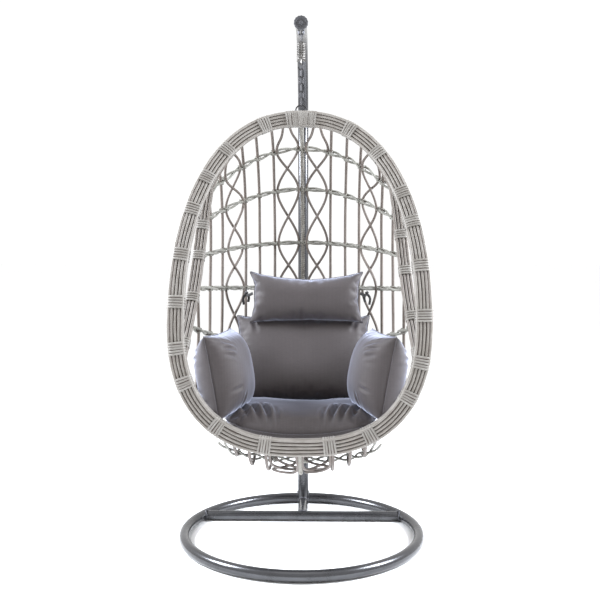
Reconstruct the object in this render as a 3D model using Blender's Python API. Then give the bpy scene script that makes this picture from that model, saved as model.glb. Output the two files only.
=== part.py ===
"""Hanging egg chair: a round steel stand, a chain hanger with a spring, and a woven basket with cushions.

Metres, +Z up. The origin is the middle of the base ring on the floor. The open front of the basket
faces -Y and the mast stands at the rear, +Y.
"""

import math

import bmesh
import bpy
import numpy as np
from mathutils import Matrix, Vector

# ---------------------------------------------------------------- driving dimensions
GAP = 0.0003                # air between two pieces that touch

# stand
RING_OUTER_RADIUS = 0.475
RING_TUBE = 0.021           # radius of the base ring's tube
RING_WALL = 0.0016
DRAIN_RADIUS = 0.0025       # the drain hole under the base ring
DRAIN_TURN = 4.5            # degrees round the ring from +X
CROSSBAR_TUBE = 0.019
CROSSBAR_Y = 0.20
SPINE_TUBE = 0.0205
STAND_WALL = 0.0016
MAST_Y = 0.405
MAST_LOWER_TUBE = 0.024
MAST_LOWER_WALL = 0.0014
MAST_UPPER_WALL = 0.0016
MAST_FIT = 0.0003           # radial clearance of the tubes that slide into each other
MAST_FOOT_Z = 0.047
MAST_JOINT_Z = 0.95         # top of the lower tube
MAST_OVERLAP = 0.15
SPIGOT_TOP_Z = 0.19
ARM_Z = 1.972
MAST_BEND = 0.37            # centreline radius of the bend
ARM_REACH = 0.035           # the arm runs on past the hanging point by this
BOLT_RADIUS = 0.003
BOLT_HEAD_RADIUS = 0.0065
BOLT_HEAD_HEIGHT = 0.005
FOOT_BOLT_Z = 0.060
CAP_RADIUS = 0.0268
CAP_LOBES = 14
CAP_LOBE_DEPTH = 0.0007
CAP_DEPTH = 0.0155

# hanger
HANG_Y = -0.10              # the hanging axis
EYE_WIRE = 0.003
EYE_HALF_WIDTH = 0.009
EYE_DROP = 0.0160           # from the underside of the arm to the middle of the eye's bar
LINK_WIRE = 0.0025
LINK_HALF_WIDTH = 0.0065
LINK_SPAN = 0.0328          # between the middles of a link's two end bars
LOWER_LINKS = 5
DRAWBAR_WIRE = 0.002
DRAWBAR_HALF_WIDTH = 0.008
DRAWBAR_LOOP = 0.009        # how far each drawbar's loop stands out of the coil
LOWER_LOOP = 0.017
COIL_RADIUS = 0.015
COIL_WIRE = 0.002
COIL_TURNS = 10
COIL_PITCH = 0.006
HOOK_SPAN = 0.0270
ARCH_WIRE = 0.00275
ARCH_RADIUS = 0.0205

# basket outline
RIM_HALF_WIDTH = 0.429      # centreline of the front rim
RIM_TOP_Z = 1.617
RIM_BOTTOM_Z = 0.452
RIM_WIDEST_Z = 0.915
RIM_UPPER_POWER = 2.3
RIM_LOWER_POWER = 2.55
RIM_LEAN = 0.33             # how far forward of its top the rim's lower part stands
RIM_BUNDLE = (0.029, 0.0175)    # half width and half depth of the bundle of strands
RIM_CORE = 0.007            # radius of the steel hoop inside
RIM_SLIT = 0.0025           # half width of the seam along the back of the bundle
SIDE_BUNDLE = (0.022, 0.015)
SIDE_TOP_Z = 1.600
SIDE_BOTTOM_Z = 0.740
SIDE_SETBACK = 0.17
SIDE_INSET = 0.042          # how far inside the front rim the side rims stand, below the inset's top
SIDE_INSET_TOP_Z = 1.36

# basket back
BACK_Y = 0.28
BACK_WIDEST_Z = 1.02
BACK_TOP_Z = 1.600
BELLY_Y = -0.08
BELLY_Z = 0.288
BELLY_FRONT_REACH = 0.36
BELLY_FRONT_RISE = 0.24
BACK_UPPER_POWER = 2.3
BACK_LOWER_POWER = 2.2
ROWS = (                    # height at the side, height at the middle of the back, bow between them
    (1.336, 1.525, 1.8), (1.233, 1.367, 1.8), (1.096, 1.145, 1.6), (0.982, 0.955, 1.0),
    (0.864, 0.720, 1.0), (0.700, 0.460, 0.9), (0.520, 0.302, 0.65),
)
STAKE_X = (0.116, 0.177, 0.2315, 0.316, 0.3535, 0.383)
STAKE = 0.0052              # radii of the lattice's strands
ROW = 0.0062
EIGHT = 0.0045
RIB = 0.0085
EIGHT_COLUMNS = ((0.0, 0.116), (0.2315, 0.316))
EIGHT_LAST_ROW = (7, 5)     # the row at which each column's strands end
CROWN_OPENING = 0.45        # share of its full swing that a pair has parted by at the crown
LATTICE_AIR = 0.0018        # room between strands, and between strands and rows

# cushions: half sizes, centre, and squareness of the outline (2 is an ellipse)
SEAT = ((0.255, 0.215, 0.056), (0.0, -0.125, 0.472), 2.4)
BACK = ((0.262, 0.168, 0.070), (0.0, 0.070, 0.684), 3.4)
HEAD = ((0.222, 0.090, 0.042), (0.0, 0.076, 0.936), 3.6)
ARM = ((0.138, 0.148, 0.085), (0.276, -0.195, 0.672), 2.8)
BACK_TILT = 74              # degrees from lying flat
HEAD_TILT = 80
ARM_YAW = 14
ARM_LEAN = 8
TIE_SECTION = (0.006, 0.0008)
TIE_Z = 0.945

ROOT = "stand"


# ---------------------------------------------------------------- scene, materials, bodies
def clear_scene():
    for thing in list(bpy.data.objects):
        bpy.data.objects.remove(thing, do_unlink=True)


def material(name, colour, roughness, metallic=0.0):
    made = bpy.data.materials.new(name)
    made.use_nodes = True
    shader = made.node_tree.nodes["Principled BSDF"]
    shader.inputs["Base Color"].default_value = (*colour, 1.0)
    shader.inputs["Roughness"].default_value = roughness
    shader.inputs["Metallic"].default_value = metallic
    return made


def body(name, place, parent=None):
    """An empty on the joint's axis, which carries the body's pieces."""
    made = bpy.data.objects.new("body_" + name, None)
    bpy.context.collection.objects.link(made)
    made.empty_display_size = 0.03
    if parent:
        made.parent = parent
        made.location = Vector(place) - parent.matrix_world.translation
    else:
        made.location = place
    bpy.context.view_layer.update()
    return made


def finish(name, data, look, holder, sharp=35):
    """Make the object, with its data moved into the holder's frame."""
    made = bpy.data.objects.new(name, data)
    bpy.context.collection.objects.link(made)
    data.transform(Matrix.Translation(-holder.matrix_world.translation))
    data.materials.append(look)
    made.parent = holder
    if isinstance(data, bpy.types.Mesh):
        data.shade_smooth()
        data.set_sharp_from_angle(angle=math.radians(sharp))
    return made


# ---------------------------------------------------------------- paths
def resample(points, count, closed=False):
    """Even spacing along a path; a closed path's last point isn't its first."""
    points = np.asarray(points, float)
    if closed:
        points = np.vstack([points, points[:1]])
    along = np.concatenate([[0], np.cumsum(np.linalg.norm(np.diff(points, axis=0), axis=1))])
    wanted = np.linspace(0, along[-1], count + 1 if closed else count)
    if closed:
        wanted = wanted[:-1]
    return np.column_stack([np.interp(wanted, along, points[:, i]) for i in range(3)])


def through(points, per_span=16):
    """A smooth curve through the points (centripetal Catmull-Rom)."""
    points = np.asarray(points, float)
    ends = (2 * points[0] - points[1], 2 * points[-1] - points[-2])
    points = np.vstack([ends[0], points, ends[1]])
    curve = []
    for p0, p1, p2, p3 in zip(points, points[1:], points[2:], points[3:]):
        steps = [math.sqrt(max(np.linalg.norm(b - a), 1e-9)) for a, b in ((p0, p1), (p1, p2), (p2, p3))]
        t1, t2 = steps[0], steps[0] + steps[1]
        t3 = t2 + steps[2]
        for t in np.linspace(t1, t2, per_span, endpoint=False):
            a1 = (t1 - t) / t1 * p0 + t / t1 * p1
            a2 = (t2 - t) / (t2 - t1) * p1 + (t - t1) / (t2 - t1) * p2
            a3 = (t3 - t) / (t3 - t2) * p2 + (t - t2) / (t3 - t2) * p3
            b1 = (t2 - t) / t2 * a1 + t / t2 * a2
            b2 = (t3 - t) / (t3 - t1) * a2 + (t - t1) / (t3 - t1) * a3
            curve.append((t2 - t) / (t2 - t1) * b1 + (t - t1) / (t2 - t1) * b2)
    curve.append(points[-2])
    return np.array(curve)


def arc(centre, radius, start, end, steps, across, up):
    """Points of an arc; angles in degrees from the across direction towards up."""
    across, up = Vector(across), Vector(up)
    turns = [math.radians(start + (end - start) * i / steps) for i in range(steps + 1)]
    return [Vector(centre) + radius * (math.cos(a) * across + math.sin(a) * up) for a in turns]


def signed_power(value, power):
    return math.copysign(abs(value) ** power, value)


# ---------------------------------------------------------------- solids
def rod(name, points, radius, look, holder, closed=False, fineness=1):
    """A round rod along a path, with filled ends."""
    data = bpy.data.curves.new(name, "CURVE")
    data.dimensions = "3D"
    data.bevel_depth = radius
    data.bevel_resolution = fineness
    data.use_fill_caps = True
    spline = data.splines.new("POLY")
    spline.points.add(len(points) - 1)
    for point, place in zip(spline.points, points):
        point.co = (*place, 1.0)
    spline.use_cyclic_u = closed
    return finish(name, data, look, holder)


def rings_along(path, section, rear, closed):
    """One ring of points for each path point. A section point is (outwards, rearwards)."""
    path = [Vector(p) for p in path]
    rings = []
    for i, place in enumerate(path):
        after = path[(i + 1) % len(path)] if closed or i + 1 < len(path) else place
        before = path[i - 1] if closed or i else place
        along = (after - before).normalized()
        back = (Vector(rear) - Vector(rear).dot(along) * along).normalized()
        out = back.cross(along)
        rings.append([place + u * out + v * back for u, v in section])
    return rings


def swept(name, path, section, rear, look, holder, closed=False):
    """A solid section swept along a path."""
    mesh = bmesh.new()
    rings = [[mesh.verts.new(p) for p in ring] for ring in rings_along(path, section, rear, closed)]
    for first, second in zip(rings, rings[1:] + rings[:1] if closed else rings[1:]):
        for i in range(len(section)):
            j = (i + 1) % len(section)
            mesh.faces.new((first[i], first[j], second[j], second[i]))
    if not closed:
        mesh.faces.new(rings[0])
        mesh.faces.new(reversed(rings[-1]))
    bmesh.ops.recalc_face_normals(mesh, faces=mesh.faces)
    data = bpy.data.meshes.new(name)
    mesh.to_mesh(data)
    mesh.free()
    return finish(name, data, look, holder)


def round_section(radius, sides):
    """A faceted circle whose flats lie at the radius, with flats facing both section directions."""
    corner = radius / math.cos(math.pi / sides)
    turns = [2 * math.pi * (i + 0.5) / sides for i in range(sides)]
    return [(corner * math.cos(a), corner * math.sin(a)) for a in turns]


def pipe(name, path, radius, wall, rear, look, holder, closed=False, sides=12):
    """A hollow tube. An open one has open ends; a closed one has its hollow as an inner surface."""
    mesh = bmesh.new()
    skins = []
    for r, inner in ((radius, False), (radius - wall, True)):
        rings = rings_along(path, round_section(r, sides), rear, closed)
        rings = [[mesh.verts.new(p) for p in ring] for ring in rings]
        skins.append(rings)
        for first, second in zip(rings, rings[1:] + rings[:1] if closed else rings[1:]):
            for i in range(sides):
                j = (i + 1) % sides
                face = (first[i], second[i], second[j], first[j])
                mesh.faces.new(reversed(face) if inner else face)
    if not closed:
        for end, turned in ((0, True), (-1, False)):
            outer, bore = skins[0][end], skins[1][end]
            for i in range(sides):
                j = (i + 1) % sides
                face = (outer[i], bore[i], bore[j], outer[j])
                mesh.faces.new(reversed(face) if turned else face)
    data = bpy.data.meshes.new(name)
    mesh.normal_update()
    if mesh.calc_volume(signed=True) < 0:
        bmesh.ops.reverse_faces(mesh, faces=mesh.faces)
    mesh.to_mesh(data)
    mesh.free()
    return finish(name, data, look, holder)


def cutter(made):
    made.hide_render = True
    made.display_type = "WIRE"
    return made


def cut(target, tool):
    step = target.modifiers.new("cut_" + tool.name, "BOOLEAN")
    step.operation = "DIFFERENCE"
    step.object = tool
    step.solver = "EXACT"


def turned(name, profile, centre, axis, sides, look, holder, lobes=0, lobe_depth=0.0):
    """A turned piece. A profile point is (radius, distance along the axis, share of the lobes)."""
    axis = Vector(axis)
    across = axis.orthogonal().normalized()
    up = axis.cross(across)
    mesh = bmesh.new()
    rings = []
    for radius, along, share in profile:
        middle = Vector(centre) + along * axis
        if radius == 0:
            rings.append([mesh.verts.new(middle)])
            continue
        ring = []
        for i in range(sides):
            a = 2 * math.pi * i / sides
            r = radius + share * lobe_depth * math.cos(lobes * a)
            ring.append(mesh.verts.new(middle + r * (math.cos(a) * across + math.sin(a) * up)))
        rings.append(ring)
    for first, second in zip(rings, rings[1:]):
        for i in range(sides):
            j = (i + 1) % sides
            loop = [first[i % len(first)], first[j % len(first)]]
            loop += [second[j % len(second)], second[i % len(second)]]
            mesh.faces.new(list(dict.fromkeys(loop)))
    bmesh.ops.recalc_face_normals(mesh, faces=mesh.faces)
    data = bpy.data.meshes.new(name)
    mesh.to_mesh(data)
    mesh.free()
    return finish(name, data, look, holder)


def cushion(name, half, centre, squareness, turn, look, holder):
    """A plain padded form, rounded across its thickness, its local Z."""
    mesh = bmesh.new()
    bmesh.ops.create_uvsphere(mesh, u_segments=16, v_segments=8, radius=1.0)
    for vert in mesh.verts:
        x, y, z = vert.co
        flat = (abs(x) ** squareness + abs(y) ** squareness) ** (1 / squareness)
        size = (flat ** 2.1 + abs(z) ** 2.1) ** (1 / 2.1)
        local = Vector((x * half[0], y * half[1], z * half[2])) / size
        vert.co = Vector(centre) + turn @ local
    data = bpy.data.meshes.new(name)
    mesh.to_mesh(data)
    mesh.free()
    return finish(name, data, look, holder, sharp=80)


# ---------------------------------------------------------------- stand
def ring_path(count=40):
    radius = RING_OUTER_RADIUS - RING_TUBE
    turns = [2 * math.pi * i / count for i in range(count)]
    return [(radius * math.cos(a), radius * math.sin(a), RING_TUBE) for a in turns]


def through_bolt(name, height, tube, looks, holder):
    """A bolt across the mast, with its head on the right and its nut on the left."""
    reach = tube / math.cos(math.pi / 12) + GAP
    head = reach + BOLT_HEAD_HEIGHT
    profile = (
        (0, head, 0), (BOLT_HEAD_RADIUS, head, 0), (BOLT_HEAD_RADIUS, reach, 0), (BOLT_RADIUS, reach, 0),
        (BOLT_RADIUS, -reach, 0), (BOLT_HEAD_RADIUS, -reach, 0), (BOLT_HEAD_RADIUS, -head, 0), (0, -head, 0),
    )
    return turned(name, profile, (0, MAST_Y, height), (1, 0, 0), 12, looks["bolt"], holder)


def bolt_hole(name, height, holder, looks):
    reach = 2 * MAST_LOWER_TUBE
    r = BOLT_RADIUS + 2 * GAP
    profile = ((0, reach, 0), (r, reach, 0), (r, -reach, 0), (0, -reach, 0))
    return cutter(turned(name, profile, (0, MAST_Y, height), (1, 0, 0), 12, looks["bolt"], holder))


def make_stand(looks, holder):
    steel = looks["steel"]
    ring = pipe("base_ring", ring_path(), RING_TUBE, RING_WALL, (0, 0, 1), steel, holder, closed=True,
        sides=8)
    bored, r = 0.8 * RING_TUBE, DRAIN_RADIUS
    drain = ((0, bored, 0), (r, bored, 0), (r, -RING_TUBE, 0), (0, -RING_TUBE, 0))
    place = (RING_OUTER_RADIUS - RING_TUBE) * Vector((math.cos(math.radians(DRAIN_TURN)),
        math.sin(math.radians(DRAIN_TURN)), 0))
    cut(ring, cutter(turned("cutter_drain", drain, place, (0, 0, 1), 8, steel, holder)))

    ring_tool = cutter(swept("cutter_ring", ring_path(), round_section(RING_TUBE + GAP, 8), (0, 0, 1),
        steel, holder, closed=True))
    inner = RING_OUTER_RADIUS - 2 * RING_TUBE
    half = math.sqrt(inner ** 2 - (CROSSBAR_Y - CROSSBAR_TUBE) ** 2) + 0.5 * RING_TUBE
    bar_path = [(-half, CROSSBAR_Y, RING_TUBE), (half, CROSSBAR_Y, RING_TUBE)]
    crossbar = pipe("base_crossbar", bar_path, CROSSBAR_TUBE, STAND_WALL, (0, 0, 1), steel, holder)
    cut(crossbar, ring_tool)

    bar_tool = cutter(swept("cutter_bar", bar_path, round_section(CROSSBAR_TUBE + GAP, 12), (0, 0, 1),
        steel, holder))
    spine_path = [(0, CROSSBAR_Y + 0.5 * CROSSBAR_TUBE, RING_TUBE), (0, inner + 0.4 * RING_TUBE, RING_TUBE)]
    spine = pipe("base_spine", spine_path, SPINE_TUBE, STAND_WALL, (0, 0, 1), steel, holder)
    cut(spine, bar_tool)
    cut(spine, ring_tool)

    upper_tube = MAST_LOWER_TUBE - MAST_LOWER_WALL - MAST_FIT
    spine_tool = cutter(swept("cutter_spine", [(0, CROSSBAR_Y, RING_TUBE), (0, inner + RING_TUBE, RING_TUBE)],
        round_section(SPINE_TUBE + GAP, 12), (0, 0, 1), steel, holder))
    spigot = pipe("base_spigot", [(0, MAST_Y, RING_TUBE + 0.4 * SPINE_TUBE), (0, MAST_Y, SPIGOT_TOP_Z)],
        upper_tube, STAND_WALL, (0, 1, 0), steel, holder)
    cut(spigot, spine_tool)

    lower = pipe("mast_lower", [(0, MAST_Y, MAST_FOOT_Z), (0, MAST_Y, MAST_JOINT_Z)],
        MAST_LOWER_TUBE, MAST_LOWER_WALL, (0, 1, 0), steel, holder)
    bend = arc((0, MAST_Y - MAST_BEND, ARM_Z - MAST_BEND), MAST_BEND, 0, 90, 10, (0, 1, 0), (0, 0, 1))
    arm_end = HANG_Y - ARM_REACH
    path = [(0, MAST_Y, MAST_JOINT_Z - MAST_OVERLAP)] + bend + [(0, arm_end, ARM_Z)]
    upper = pipe("mast_upper", path, upper_tube, MAST_UPPER_WALL, (1, 0, 0), steel, holder)

    foot_hole = bolt_hole("cutter_foot", FOOT_BOLT_Z, holder, looks)
    joint_z = MAST_JOINT_Z - 0.5 * MAST_OVERLAP
    joint_hole = bolt_hole("cutter_joint", joint_z, holder, looks)
    for tube, hole in ((lower, foot_hole), (spigot, foot_hole), (lower, joint_hole), (upper, joint_hole)):
        cut(tube, hole)
    through_bolt("mast_foot_bolt", FOOT_BOLT_Z, MAST_LOWER_TUBE, looks, holder)
    through_bolt("mast_joint_bolt", joint_z, MAST_LOWER_TUBE, looks, holder)

    plug = upper_tube - MAST_UPPER_WALL - 2 * GAP
    profile = (
        (0, -0.018, 0), (plug, -0.018, 0), (plug, GAP, 0), (CAP_RADIUS - 0.001, GAP, 1),
        (CAP_RADIUS, 0.003, 1), (CAP_RADIUS, 0.009, 1), (CAP_RADIUS - 0.003, CAP_DEPTH - 0.003, 1),
        (0.68 * CAP_RADIUS, CAP_DEPTH - 0.003, 0), (0.60 * CAP_RADIUS, CAP_DEPTH - 0.0055, 0),
        (0.34 * CAP_RADIUS, CAP_DEPTH - 0.0055, 0), (0.28 * CAP_RADIUS, CAP_DEPTH - 0.001, 0),
        (0, CAP_DEPTH, 0),
    )
    turned("arm_end_cap", profile, (0, arm_end, ARM_Z), (0, -1, 0), 2 * CAP_LOBES, looks["cap"], holder,
        CAP_LOBES, CAP_LOBE_DEPTH)

    under = ARM_Z - upper_tube
    bar_z = under - EYE_DROP
    path = [(EYE_HALF_WIDTH, HANG_Y, under - GAP)]
    path += arc((0, HANG_Y, bar_z + EYE_HALF_WIDTH), EYE_HALF_WIDTH, 0, -180, 10, (1, 0, 0), (0, 0, 1))
    path += [(-EYE_HALF_WIDTH, HANG_Y, under - GAP)]
    rod("arm_eye", path, EYE_WIRE, looks["chain"], holder)
    return bar_z


# ---------------------------------------------------------------- hanger
def hanger_levels(eye_bar):
    """Height of each bar of the hanger, from the eye down. A hanging bar lies on the one below it."""
    level = {"eye": eye_bar}
    level["top_link_top"] = eye_bar + EYE_WIRE + LINK_WIRE + GAP
    level["top_link_bottom"] = level["top_link_top"] - LINK_SPAN
    level["upper_drawbar"] = level["top_link_bottom"] + LINK_WIRE + DRAWBAR_WIRE + GAP
    level["coil_top"] = level["upper_drawbar"] - DRAWBAR_LOOP - COIL_WIRE
    level["coil_bottom"] = level["coil_top"] - COIL_TURNS * COIL_PITCH
    level["lower_drawbar"] = level["coil_bottom"] - LOWER_LOOP
    level["hook_top"] = level["lower_drawbar"] + DRAWBAR_WIRE + LINK_WIRE + GAP
    level["hook_bottom"] = level["hook_top"] - HOOK_SPAN
    bottom = level["hook_bottom"]
    for i in range(1, LOWER_LINKS + 1):
        level[f"link{i}_top"] = bottom + 2 * LINK_WIRE + GAP
        bottom = level[f"link{i}_top"] - LINK_SPAN
        level[f"link{i}_bottom"] = bottom
    level["arch"] = bottom + LINK_WIRE + ARCH_WIRE + GAP
    return level


def link(name, top, bottom, across, look, holder):
    """An oval chain link hanging in the plane of the vertical and the across direction."""
    w = LINK_HALF_WIDTH
    path = arc((0, HANG_Y, top - w), w, 0, 180, 6, across, (0, 0, 1))
    path += arc((0, HANG_Y, bottom + w), w, 180, 360, 6, across, (0, 0, 1))
    rod(name, path, LINK_WIRE, look, holder, closed=True)


def drawbar(name, loop_z, foot_z, across, look, holder):
    """A bar bent into a loop at one end, with two feet that take hold of the coil's far end."""
    w = DRAWBAR_HALF_WIDTH
    side = 1 if loop_z > foot_z else -1
    across = Vector(across)
    foot = (COIL_RADIUS + COIL_WIRE) * across
    path = [Vector((0, HANG_Y, foot_z)) + foot, Vector((0, HANG_Y, foot_z)) + w * across]
    path += arc((0, HANG_Y, loop_z - side * w), w, 0, 180, 8, across, (0, 0, side))
    path += [Vector((0, HANG_Y, foot_z)) - w * across, Vector((0, HANG_Y, foot_z)) - foot]
    rod(name, path, DRAWBAR_WIRE, look, holder)


def make_hanger(level, looks, holders):
    chain, spring = looks["chain"], looks["spring"]
    wide, deep = (1, 0, 0), (0, 1, 0)
    link("chain_link_upper", level["top_link_top"], level["top_link_bottom"], deep, chain,
        holders["top_link"])
    clear = COIL_WIRE + DRAWBAR_WIRE + GAP
    drawbar("spring_upper_drawbar", level["upper_drawbar"], level["coil_bottom"] - clear, wide, spring,
        holders["spring_upper"])
    steps = 8 * COIL_TURNS
    turns = [2 * math.pi * i / 8 for i in range(steps + 1)]
    helix = [(COIL_RADIUS * math.cos(a), HANG_Y + COIL_RADIUS * math.sin(a),
        level["coil_bottom"] + COIL_PITCH * a / (2 * math.pi)) for a in turns]
    rod("spring_coil", helix, COIL_WIRE, spring, holders["spring_upper"])
    drawbar("spring_lower_drawbar", level["lower_drawbar"], level["coil_top"] + clear, deep, spring,
        holders["spring_lower"])

    w = LINK_HALF_WIDTH
    top, bottom = level["hook_top"] - w, level["hook_bottom"] + w
    tail = Vector((-w, HANG_Y, bottom))
    path = [tail + Vector((-0.0045, 0, 0.0035)), tail + Vector((-0.0008, 0, 0.0005))]
    path += arc((0, HANG_Y, bottom), w, 200, 360, 6, wide, (0, 0, 1))
    path += arc((0, HANG_Y, top), w, 0, 180, 6, wide, (0, 0, 1))
    path += [(-w, HANG_Y, top - 0.002)]
    rod("snap_hook", path, LINK_WIRE, chain, holders["spring_lower"])

    for i in range(1, LOWER_LINKS + 1):
        across = deep if i % 2 else wide
        link(f"chain_link_lower_{i}", level[f"link{i}_top"], level[f"link{i}_bottom"], across, chain,
            holders[f"link_{i}"])

    centre = (0, HANG_Y, level["arch"] - ARCH_RADIUS)
    rest_z = RIM_TOP_Z + RIM_BUNDLE[0] + 2 * GAP
    path = [(ARCH_RADIUS, HANG_Y, rest_z)] + arc(centre, ARCH_RADIUS, 0, 180, 12, wide, (0, 0, 1))
    path += [(-ARCH_RADIUS, HANG_Y, rest_z)]
    rod("basket_hanger_ring", path, ARCH_WIRE, chain, holders["basket"])


# ---------------------------------------------------------------- basket outline
def rim_half_width(z):
    if z >= RIM_WIDEST_Z:
        share, power = (z - RIM_WIDEST_Z) / (RIM_TOP_Z - RIM_WIDEST_Z), RIM_UPPER_POWER
    else:
        share, power = (RIM_WIDEST_Z - z) / (RIM_WIDEST_Z - RIM_BOTTOM_Z), RIM_LOWER_POWER
    return RIM_HALF_WIDTH * max(0.0, 1 - min(1.0, share) ** power) ** (1 / power)


def rim_y(z):
    drop = (RIM_TOP_Z - z) / (RIM_TOP_Z - RIM_BOTTOM_Z)
    return HANG_Y - RIM_LEAN * math.sin(0.5 * math.pi * min(1.0, max(0.0, drop) / 0.85))


def rim_point(turn):
    """A point of the front rim's centreline; turn 0 is the top and 180 degrees the bottom."""
    upper = math.cos(turn) >= 0
    reach = RIM_TOP_Z - RIM_WIDEST_Z if upper else RIM_WIDEST_Z - RIM_BOTTOM_Z
    power = 2 / (RIM_UPPER_POWER if upper else RIM_LOWER_POWER)
    x = RIM_HALF_WIDTH * signed_power(math.sin(turn), power)
    z = RIM_WIDEST_Z + reach * signed_power(math.cos(turn), power)
    return (x, rim_y(z), z)


def rim_path(count):
    fine = [rim_point(2 * math.pi * i / 720) for i in range(720)]
    return resample(fine, count, closed=True)


def swell(z, top):
    """A rise and fall from a height down to the foot of the side rims."""
    share = (top - z) / (top - SIDE_BOTTOM_Z)
    return math.sin(math.pi * share) ** 0.8 if 0 < share < 1 else 0.0


def hoop_point(z, side=1):
    """Where the lattice is tied at a height: the side rim, or the front rim below it."""
    inset = SIDE_INSET * swell(z, SIDE_INSET_TOP_Z)
    return (side * (rim_half_width(z) - inset), rim_y(z) + SIDE_SETBACK * swell(z, SIDE_TOP_Z), z)


def make_rims(looks, holder):
    path = rim_path(40)
    rod("front_rim_frame", path, RIM_CORE, looks["steel"], holder, closed=True)
    wide, deep = RIM_BUNDLE
    outer = []
    for i in range(13):
        a = math.radians(100 + 340 * i / 12)
        outer.append((wide * signed_power(math.cos(a), 0.55), deep * signed_power(math.sin(a), 0.55)))
    core = RIM_CORE / math.cos(math.pi / 6) + GAP
    open_turn = math.asin(RIM_SLIT / core)
    turns = [0.5 * math.pi - open_turn - (2 * math.pi - 2 * open_turn) * i / 6 for i in range(7)]
    bore = [(core * math.cos(a), core * math.sin(a)) for a in turns]
    outer[0] = (-RIM_SLIT, deep)
    outer[-1] = (RIM_SLIT, deep)
    swept("front_rim_strands", path, outer + bore, (0, 1, 0), looks["strand"], holder, closed=True)

    half_w, half_d = SIDE_BUNDLE
    turns = [2 * math.pi * (i + 0.5) / 10 for i in range(10)]
    section = [(half_w * signed_power(math.cos(a), 0.7), half_d * signed_power(math.sin(a), 0.7))
        for a in turns]
    for name, side in (("side_rim_left", -1), ("side_rim_right", 1)):
        heights = np.linspace(SIDE_TOP_Z, SIDE_BOTTOM_Z, 400)
        fine = [hoop_point(z, side) for z in heights]
        room = math.hypot(*RIM_BUNDLE) + half_d + GAP
        run = clear_run(fine, [(rim_path(720), room)], 26)
        swept(name, run, section, (0, 1, 0), looks["strand"], holder)


def clear_run(points, keep_outs, count):
    """The stretch round the path's middle that keeps its distance from other curves, evenly spaced."""
    fine = resample(points, 500)
    clear = np.ones(len(fine), bool)
    for curve, distance in keep_outs:
        gaps = np.linalg.norm(fine[:, None, :] - np.asarray(curve)[None, :, :], axis=2).min(axis=1)
        clear &= gaps > distance
    first = last = len(fine) // 2
    while first > 0 and clear[first - 1]:
        first -= 1
    while last < len(fine) - 1 and clear[last + 1]:
        last += 1
    return resample(fine[first:last + 1], count)


# ---------------------------------------------------------------- basket lattice
def back_point(turn):
    """The middle of the back; turn 0 is its top, 90 degrees its rear, 180 its lowest point."""
    across, up = math.sin(turn), math.cos(turn)
    if up >= 0:
        power = 2 / BACK_UPPER_POWER
        return (HANG_Y + (BACK_Y - HANG_Y) * abs(across) ** power,
            BACK_WIDEST_Z + (BACK_TOP_Z - BACK_WIDEST_Z) * up ** power)
    if across >= 0:
        power = 2 / BACK_LOWER_POWER
        return (BELLY_Y + (BACK_Y - BELLY_Y) * across ** power,
            BACK_WIDEST_Z - (BACK_WIDEST_Z - BELLY_Z) * abs(up) ** power)
    return BELLY_Y - BELLY_FRONT_REACH * abs(across), BELLY_Z + BELLY_FRONT_RISE * (1 - abs(up))


def back_turn(z):
    if z >= BACK_WIDEST_Z:
        share = (z - BACK_WIDEST_Z) / (BACK_TOP_Z - BACK_WIDEST_Z)
        return math.acos(min(1.0, share) ** (0.5 * BACK_UPPER_POWER))
    share = (BACK_WIDEST_Z - z) / (BACK_WIDEST_Z - BELLY_Z)
    return math.pi - math.acos(min(1.0, share) ** (0.5 * BACK_LOWER_POWER))


def stations():
    """The levels that shape the lattice: (height at the side, turn at the back, bow)."""
    rows = [(side, back_turn(back), bow) for side, back, bow in ROWS]
    crown = [(0.55 * RIM_TOP_Z + 0.45 * ROWS[0][0], 0.5 * rows[0][1], ROWS[0][2])]
    belly = [(RIM_BOTTOM_Z + 0.030, math.radians(186), ROWS[-1][2]),
             (RIM_BOTTOM_Z + 0.010, math.radians(214), ROWS[-1][2])]
    return crown + rows + belly


def level_point(level, x):
    """The lattice's surface on one level at a distance from the middle, or None outside it."""
    side_z, turn, bow = level
    edge = hoop_point(side_z)
    if abs(x) >= 0.985 * edge[0]:
        return None
    share = math.cos(math.asin(x / edge[0]))
    y, z = back_point(turn)
    return np.array((x, edge[1] + (y - edge[1]) * share, edge[2] + (z - edge[2]) * share ** bow))


def hoop_end(x, upper):
    """The point of the hoop, above or below its widest, at a distance from the middle."""
    low, high = (RIM_WIDEST_Z, RIM_TOP_Z) if upper else (RIM_BOTTOM_Z, RIM_WIDEST_Z)
    for _ in range(50):
        z = 0.5 * (low + high)
        if (abs(hoop_point(z)[0]) > abs(x)) == upper:
            low = z
        else:
            high = z
    return np.array((x, *hoop_point(0.5 * (low + high))[1:]))


def outward(levels, i, x):
    """The lattice's outward normal on a level."""
    step = 0.01
    here = level_point(levels[i], x)
    beside = level_point(levels[i], x + (step if x <= 0 else -step))
    along = (beside - here) * (1 if x <= 0 else -1)
    for other in (i + 1, i - 1):
        if 0 <= other < len(levels):
            point = level_point(levels[other], x)
            if point is not None:
                down = (point - here) * (1 if other > i else -1)
                normal = np.cross(along, down)
                normal /= np.linalg.norm(normal)
                inside = np.array((0.0, -0.12, 1.0)) - here
                return normal if normal @ inside < 0 else -normal
    return np.array((0.0, 1.0, 0.0))


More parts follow.
